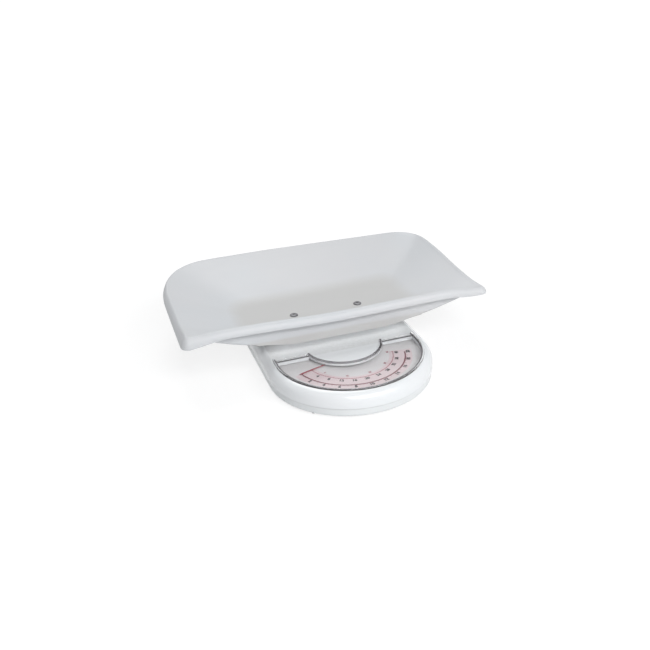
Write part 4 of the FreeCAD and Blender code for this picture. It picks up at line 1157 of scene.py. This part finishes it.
@dataclass
class DialWindow:
    """Clear pane in the cover and the raised trim round it."""

    radius: float = 125
    hub: float = 66
    cover_top: float = 43
    pane_base: float = 41
    gap: float = 0.15
    pane_edge: float = 0.5
    lift: float = 0.03
    rim_half: float = 2.0
    rim_height: float = 3.0
    # Painted shadow strips: half width and height of the one inside the outer rim, and height of those along
    # the straight edges.
    edge_half: float = 1.1
    edge_height: float = 1.9
    straight_height: float = 0.5
    tab: float = 8
    hub_tab: float = 6
    flange: float = 6.5
    flange_height: float = 0.7
    back: float = 13.5
    arc_steps: int = 72

    def arc(self, radius: float, centre: float, start: float, sweep: float) -> list[Stop]:
        """Stops round an arc, each with the direction out from its centre.

        Args:
            radius: Radius of the arc.
            centre: Y of its centre.
            start: Direction of the first stop, in radians.
            sweep: Angle from the first stop to the last.

        Returns:
            X and Y of each stop, and X and Y of its direction.
        """
        stops = []
        for i in range(self.arc_steps + 1):
            turn = start + sweep * i / self.arc_steps
            c, s = math.cos(turn), math.sin(turn)
            stops.append((radius * c, centre + radius * s, c, s))
        return stops

    def outline(self, grow: float) -> list[tuple[float, float]]:
        """Window outline grown by an amount: outer arc, side, straight edge, hub arc, straight edge, side.

        Args:
            grow: How far out from the window's own edge, in millimetres.

        Returns:
            X and Y of each corner.
        """
        big, small = self.radius + grow, self.hub - grow
        line = DIAL_Y + self.back + grow
        low = math.asin((line - HUB_Y) / small)
        front = self.arc(big, DIAL_Y, math.pi, math.pi)
        hub = self.arc(small, HUB_Y, low, -math.pi - 2 * low)
        return [(-big, line), *(stop[:2] for stop in front), (big, line), *(stop[:2] for stop in hub)]

    def pane(self) -> None:
        """Clear pane with a softened upper edge."""
        levels = (
            (-self.gap, self.pane_base), (-self.gap, self.cover_top - self.pane_edge),
            (-self.gap - self.pane_edge, self.cover_top - 0.02),
        )
        rings = [[(x, y, z) for x, y in self.outline(grow)] for grow, z in levels]
        piece = Bench.bar("window_pane", rings)
        Bench.smooth(piece, 30)
        hand_over(piece, Body.BASE, LENS_CLEAR)

    def section(self, across: float, height: float) -> list[tuple[float, float]]:
        """Section of the rim: straight foot, rounded top.

        Args:
            across: Half the width of the rim.
            height: Height of the rim above the cover.

        Returns:
            Out from the middle and up from the cover, for each corner.
        """
        return [
            (-across, self.lift), (-across, height * 0.62), (-across * 0.86, height * 0.82),
            (-across * 0.55, height * 0.95), (0, height), (across * 0.55, height * 0.95),
            (across * 0.86, height * 0.8), (across, height * 0.55), (across, self.lift),
        ]

    def strip(self, name: str, path: Sequence[Stop],
              section: Sequence[tuple[float, float]]) -> bpy.types.Object:
        """Carry a section along a path on the cover.

        Args:
            name: Name of the strip.
            path: X and Y of each stop, and the direction that counts as out there.
            section: Out and up of each corner of the section.

        Returns:
            The strip.
        """
        return Bench.bar(name, [
            [(x + out * nx, y + out * ny, self.cover_top + up) for out, up in section]
            for x, y, nx, ny in path
        ])

    def outer_rim(self, name: str, grow: float, half: float, height: float) -> bpy.types.Object:
        """Strip round the front of the window, its ends running back past the straight edges: the clear rim,
        and the painted shadow inside it.

        Args:
            name: Name of the strip.
            grow: How far its middle lies outside the window's own edge.
            half: Half its width.
            height: Its height above the cover.

        Returns:
            The strip.
        """
        line, radius = DIAL_Y + self.back + self.tab, self.radius + grow
        middle = (line + DIAL_Y) / 2
        path = [
            (-radius, line, -1.0, 0.0), (-radius, middle, -1.0, 0.0),
            *self.arc(radius, DIAL_Y, math.pi, math.pi),
            (radius, middle, 1.0, 0.0), (radius, line, 1.0, 0.0),
        ]
        return self.strip(name, path, self.section(half, height))

    def straight_edge(self, side: int) -> bpy.types.Object:
        """Painted shadow: a dark strip along one straight side of the window, where the wall meets the plate
        in shade.

        Args:
            side: 1 for the right side, -1 for the left.

        Returns:
            The edge.
        """
        line = DIAL_Y + self.back - self.edge_half
        inner = math.sqrt(self.hub**2 - (HUB_Y - line) ** 2) + self.edge_half
        path = [(side * x, line, 0.0, 1.0) for x in (self.radius - self.edge_half, inner)]
        return self.strip(f"straight_edge_{side}", path, self.section(self.edge_half, self.straight_height))

    def hub_rim(self) -> bpy.types.Object:
        """Rim round the half disc.

        Returns:
            The rim.
        """
        past = math.asin((HUB_Y - DIAL_Y - self.back) / self.hub) - self.hub_tab / self.hub
        path = self.arc(self.hub, HUB_Y, math.pi + past, math.pi - 2 * past)
        return self.strip("hub_rim", path, self.section(self.rim_half * 0.9, self.rim_height))

    def rear_flange(self, side: int) -> bpy.types.Object:
        """Flat flange of the lens behind one straight edge.

        Args:
            side: 1 for the right side, -1 for the left.

        Returns:
            The flange.
        """
        inner = math.sqrt(self.hub**2 - (HUB_Y - DIAL_Y - self.back) ** 2) + self.rim_half
        height, wide = self.flange_height, self.flange
        section = [
            (0, self.lift), (0, height * 0.6), (0.5, height), (2.7, height), (3, 0.1), (3.6, 0.1),
            (3.9, height), (wide - 0.6, height), (wide, height * 0.5), (wide, self.lift),
        ]
        line = DIAL_Y + self.back
        reach = (self.radius - self.rim_half, (self.radius + inner) / 2, inner)
        path = [(side * x, line, 0.0, 1.0) for x in reach]
        return self.strip(f"rear_flange_{side}", path, section)

    def build(self) -> None:
        """Model the pane and the rim and hand them over."""
        self.pane()
        parts: list[bpy.types.Object] = []
        bead = self.rim_half - self.edge_half / 2
        # Painted shadow: a dark strip inside the outer rim and along each straight edge.
        dark = [
            self.outer_rim("rim_painted_shadow", -self.edge_half, self.edge_half, self.edge_height),
            self.straight_edge(1), self.straight_edge(-1),
        ]
        clear = [
            self.outer_rim("outer_rim", bead, bead, self.rim_height),
            self.rear_flange(1), self.rear_flange(-1),
        ]
        for finish, strips in ((RIM_CLEAR, [self.hub_rim()]), (RIM_PAINTED_SHADOW, dark), (LENS_CLEAR, clear)):
            for strip in strips:
                strip.data.materials.append(finish.material())
            parts += strips
        piece = Bench.merge("window_rim", parts)
        Bench.smooth(piece, 40)
        hand_over(piece, Body.BASE, None, ["window_lens"])


# --- Printed dial ----------------------------------------------------------------


@dataclass
class DialPrint:
    """Scale printed on the dial plate: band, arcs, ticks and plain numbers."""

    plate: float = 34
    start: float = 197.5
    per_kilo: float = 7.45
    kilos: int = 20
    outer_arc: float = 96
    inner_arc: float = 75.5
    band_inner: float = 69
    band_outer: float = 108
    ink: float = 0.12
    arc_half: float = 1.2
    fine_arc_half: float = 0.5
    fine_arc_past: float = 4
    pounds: int = 46
    pound: float = 0.45359
    # Radius of each row of numbers and height of its type.
    kilo_row: tuple[float, float] = (101.8, 8.8)
    half_kilo_row: tuple[float, float] = (82, 8.2)
    pound_row: tuple[float, float] = (66.5, 5.2)
    bold: float = 0.045
    layers: list[bpy.types.Object] = field(default_factory=list)

    def turn(self, kilos: float) -> float:
        """Direction of a load on the scale, in degrees."""
        return self.start + self.per_kilo * kilos

    def sector(self, name: str, inner: float, outer: float, begin: float, end: float,
               low: float, finish: Finish) -> None:
        """Lay a flat curved strip on the plate.

        Args:
            name: Name of the strip.
            inner: Inner radius.
            outer: Outer radius.
            begin: Direction where it starts, in degrees.
            end: Direction where it ends.
            low: Height of its underside above the plate.
            finish: Its ink.
        """
        steps = max(2, round(abs(end - begin) / 2))
        base, top = self.plate + low, self.plate + low + self.ink
        rings = []
        for i in range(steps + 1):
            angle = math.radians(begin + (end - begin) * i / steps)
            c, s = math.cos(angle), math.sin(angle)
            rings.append([
                (inner * c, DIAL_Y + inner * s, base), (outer * c, DIAL_Y + outer * s, base),
                (outer * c, DIAL_Y + outer * s, top), (inner * c, DIAL_Y + inner * s, top),
            ])
        piece = Bench.bar(name, rings)
        piece.data.materials.append(finish.material())
        self.layers.append(piece)

    def ticks(self, name: str, marks: Sequence[tuple[float, float, float]], width: float,
              finish: Finish) -> None:
        """Print short radial lines: one is drawn, the rest are copies.

        Args:
            name: Name of the set.
            marks: Direction, inner and outer radius of each line.
            width: Width of the lines.
            finish: Their ink.
        """
        Bench.clear()
        bpy.ops.mesh.primitive_plane_add(size=1)
        first = Bench.take(f"{name}_first")
        bpy.ops.object.mode_set(mode="EDIT")
        bpy.ops.mesh.extrude_region_move(TRANSFORM_OT_translate={"value": (0, 0, self.ink * MM)})
        Bench.face_out()
        first.data.materials.append(finish.material())
        made = []
        for direction, inner, outer in marks:
            middle = (inner + outer) / 2 * MM
            scale = Matrix.Diagonal(((outer - inner) * MM, width * MM, 1, 1))
            place = (Matrix.Translation((0, DIAL_Y * MM, (self.plate + self.ink * 1.5) * MM))
                     @ Matrix.Rotation(math.radians(direction), 4, "Z")
                     @ Matrix.Translation((middle, 0, 0)) @ scale)
            made.append(Bench.copy(first, place))
        bpy.data.objects.remove(first)
        self.layers.append(Bench.merge(name, made))

    def numbers(self, name: str, labels: Sequence[tuple[str, float]], radius: float, size: float,
                finish: Finish) -> None:
        """Print a row of numbers with their heads to the dial's axis.

        Args:
            name: Name of the row.
            labels: Each number and its direction in degrees.
            radius: Middle of the row.
            size: Height of the type.
            finish: Their ink.
        """
        made = []
        for text, direction in labels:
            Bench.clear()
            bpy.ops.object.text_add()
            digit = Bench.take(f"{name}_{text}")
            digit.data.body = text
            digit.data.align_x, digit.data.align_y = "CENTER", "CENTER"
            digit.data.size = size * MM
            digit.data.extrude = self.ink * 0.5 * MM
            digit.data.offset = self.bold * size * MM
            digit.data.resolution_u = 3
            bpy.ops.object.convert(target="MESH")
            digit = bpy.context.object
            angle = math.radians(direction)
            digit.data.transform(
                Matrix.Translation((radius * MM * math.cos(angle), (DIAL_Y + radius * math.sin(angle)) * MM,
                                    (self.plate + self.ink * 2) * MM))
                @ Matrix.Rotation(angle - math.radians(270), 4, "Z")
            )
            digit.data.materials.clear()
            digit.data.materials.append(finish.material())
            made.append(digit)
        self.layers.append(Bench.merge(name, made))

    def build(self) -> None:
        """Print the whole scale and hand it over as one piece."""
        end = self.turn(self.kilos)
        outer, inner, past = self.outer_arc, self.inner_arc, self.fine_arc_past
        self.sector("scale_band", self.band_inner, self.band_outer, self.start - 1, end + 5, 0, BAND_PINK)
        self.sector("outer_arc", outer - self.arc_half, outer + self.arc_half,
                    self.start, end, self.ink, ARC_RED)
        self.sector("inner_arc", inner - self.fine_arc_half, inner + self.fine_arc_half,
                    self.start, end + past, self.ink, FINE_RED)
        halves = [
            (self.turn(k / 2), outer - (0 if k % 2 else 1.5), outer + (2.4 if k % 2 else 4))
            for k in range(self.kilos * 2 + 1)
        ]
        self.ticks("kilo_ticks", halves, 0.7, ARC_RED)
        per_pound = self.per_kilo * self.pound
        pounds = [
            (self.start + per_pound * p, inner - (2.4 if p % 5 == 0 else 0.5), inner + 1.6)
            for p in range(self.pounds)
        ]
        self.ticks("pound_ticks", pounds, 0.5, FINE_RED)
        even = range(2, self.kilos + 1, 2)
        self.numbers("kilo_numbers", [(str(k), self.turn(k)) for k in even], *self.kilo_row, DIGIT_DARK)
        self.numbers("half_kilo_numbers", [(str(2 * k), self.turn(k)) for k in even], *self.half_kilo_row,
                     DIGIT_DARK)
        fives = [(str(p), self.start + per_pound * p) for p in range(5, self.pounds, 10)]
        self.numbers("pound_numbers", fives, *self.pound_row, FINE_RED)
        piece = Bench.merge("dial_printing", self.layers)
        hand_over(piece, Body.BASE, None)


# --- Studio and camera -------------------------------------------------------------


@dataclass
class Studio:
    """Plain pale floor, white surroundings and soft lamps."""

    floor_size: float = 60.0
    paper_near: float = 0.4
    paper_far: float = 1.6
    surround: float = 0.28
    below: float = 0.0003
    paper: int = 244
    shaded: float = 0.26
    glow_near: float = 0.8

    def white_for_camera(self, kit: Nodes, shader: bpy.types.NodeSocket,
                         seen: bpy.types.NodeSocket) -> bpy.types.NodeSocket:
        """Show one shader to the camera, mirrors and glass, and another to all other rays.

        Args:
            kit: Nodes of the material or the world.
            shader: What other rays meet.
            seen: What the camera meets.

        Returns:
            The mixed shader.
        """
        rays = kit.add("ShaderNodeLightPath").outputs
        looked_at = kit.reckon("MAXIMUM", rays["Is Camera Ray"], rays["Is Glossy Ray"])
        return kit.choose(kit.reckon("MAXIMUM", looked_at, rays["Is Transmission Ray"]), shader, seen)

    def world(self) -> None:
        """Soft grey light from all round, and plain white where the camera sees past the floor."""
        world = bpy.data.worlds.new("surroundings")
        bpy.context.scene.world = world
        world.use_nodes = True
        world.node_tree.nodes.clear()
        kit = Nodes(world.node_tree)
        soft = kit.add("ShaderNodeBackground", Strength=self.surround)
        soft.inputs["Color"].default_value = srgb(250, 252, 255)
        white = kit.add("ShaderNodeBackground", Strength=1.0)
        white.inputs["Color"].default_value = (1, 1, 1, 1)
        output = kit.add("ShaderNodeOutputWorld")
        kit.join(self.white_for_camera(kit, soft.outputs[0], white.outputs[0]), output.inputs["Surface"])

    def floor(self) -> None:
        """Wide white floor that keeps the object's shadow."""
        Bench.clear()
        bpy.ops.mesh.primitive_plane_add(size=self.floor_size, location=(0, 0, -self.below))
        plane = Bench.take("studio_floor")
        bpy.ops.object.transform_apply(location=True, rotation=True, scale=True)
        material = bpy.data.materials.new("studio_paper")
        material.use_nodes = True
        material.node_tree.nodes.clear()
        kit = Nodes(material.node_tree)
        paper = kit.add("ShaderNodeBsdfDiffuse")
        paper.inputs["Color"].default_value = srgb(self.paper, self.paper, self.paper)
        shaded = kit.add("ShaderNodeBsdfDiffuse")
        shaded.inputs["Color"].default_value = (*[self.shaded] * 3, 1)
        place = kit.add("ShaderNodeTexCoord")
        away = kit.add("ShaderNodeVectorMath", operation="LENGTH")
        kit.join(place.outputs["Object"], away.inputs[0])
        near = kit.span(away.outputs["Value"], 0, 1, self.paper_near, self.paper_far)
        glow = kit.add("ShaderNodeEmission", Strength=1.0)
        kit.join(kit.blend(near, (*[self.glow_near] * 3, 1), (1, 1, 1, 1)), glow.inputs["Color"])
        lit = kit.add("ShaderNodeAddShader")
        kit.join(shaded.outputs[0], lit.inputs[0])
        kit.join(glow.outputs[0], lit.inputs[1])
        output = kit.add("ShaderNodeOutputMaterial")
        kit.join(self.white_for_camera(kit, paper.outputs[0], lit.outputs[0]), output.inputs["Surface"])
        plane.data.materials.append(material)

    def lamp(self, name: str, place: Spot, size: tuple[float, float], power: float,
             aim: Spot = (0, 0, 0.05)) -> None:
        """Add a soft lamp that faces the scale.

        Args:
            name: Name of the lamp.
            place: Where it hangs, in metres.
            size: Sides of its panel, in metres.
            power: Watts.
            aim: Where it points.
        """
        Bench.clear()
        bpy.ops.object.light_add(type="AREA", location=place)
        lamp = Bench.take(name)
        lamp.data.shape = "RECTANGLE"
        lamp.data.size, lamp.data.size_y = size
        lamp.data.energy = power
        lamp.rotation_euler = (Vector(aim) - Vector(place)).to_track_quat("-Z", "Y").to_euler()

    def build(self) -> None:
        """Set up world, floor and lamps."""
        self.world()
        self.floor()
        self.lamp("front_lamp", (0, -1.72, 1.32), (1.2, 1.2), 22)
        self.lamp("right_lamp", (0.9, -1.45, 1.4), (0.7, 0.7), 11)
        self.lamp("back_lamp", (0, 1.1, 1.9), (1.2, 1.2), 15)
        self.lamp("under_tray_lamp", (0, -0.048, 0.0615), (0.25, 0.045), 0.021, (0, -0.0481, 0))
        LOG.info("studio: floor, world and four lamps")


@dataclass
class FrontCamera:
    """Camera in front of the scale, a little to its left and above."""

    azimuth: float = -17.0
    elevation: float = 26.3
    distance: float = 1515.1
    target: Spot = (-3.3, 11.2, 42.3)
    roll: float = 3.1
    focal_pixels: float = 836.2
    frame_pixels: int = 650
    sensor: float = 36

    def build(self) -> None:
        """Place the camera and make it the scene's own."""
        a, e = math.radians(self.azimuth), math.radians(self.elevation)
        back = Vector((math.sin(a) * math.cos(e), -math.cos(a) * math.cos(e), math.sin(e)))
        right = Vector((math.cos(a), math.sin(a), 0))
        up = back.cross(right)
        r = math.radians(self.roll)
        rolled_right = right * math.cos(r) - up * math.sin(r)
        rolled_up = right * math.sin(r) + up * math.cos(r)
        Bench.clear()
        bpy.ops.object.camera_add()
        camera = Bench.take("front_camera")
        turn = Matrix((rolled_right, rolled_up, back)).transposed().to_4x4()
        camera.matrix_world = Matrix.Translation((Vector(self.target) + back * self.distance) * MM) @ turn
        camera.data.sensor_width = self.sensor
        camera.data.sensor_fit = "HORIZONTAL"
        camera.data.lens = self.focal_pixels * self.sensor / self.frame_pixels
        camera.data.clip_start, camera.data.clip_end = 0.05, 200
        bpy.context.scene.camera = camera


def dress_cad_nodes() -> None:
    """Give every CAD node that stays in view its own finish."""
    for finish, names in CAD_FINISHES.items():
        for name in names:
            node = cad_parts[name]
            if not node.material_slots:
                node.data.materials.append(None)
            for slot in node.material_slots:
                slot.material = finish.material()
        LOG.info("%s: %s", finish.name, ", ".join(names))


def main() -> None:
    """Build the pieces in order, then the studio and the camera."""
    logging.basicConfig(level=logging.INFO, format="%(name)s %(message)s")
    bpy.context.scene.view_settings.view_transform = "Standard"
    FrontCamera().build()
    Studio().build()
    dress_cad_nodes()
    WeighingTray().build()
    TrayScrew().build()
    DialWindow().build()
    DialPrint().build()
    Bench.clear()


if __name__ == "__main__":
    main()
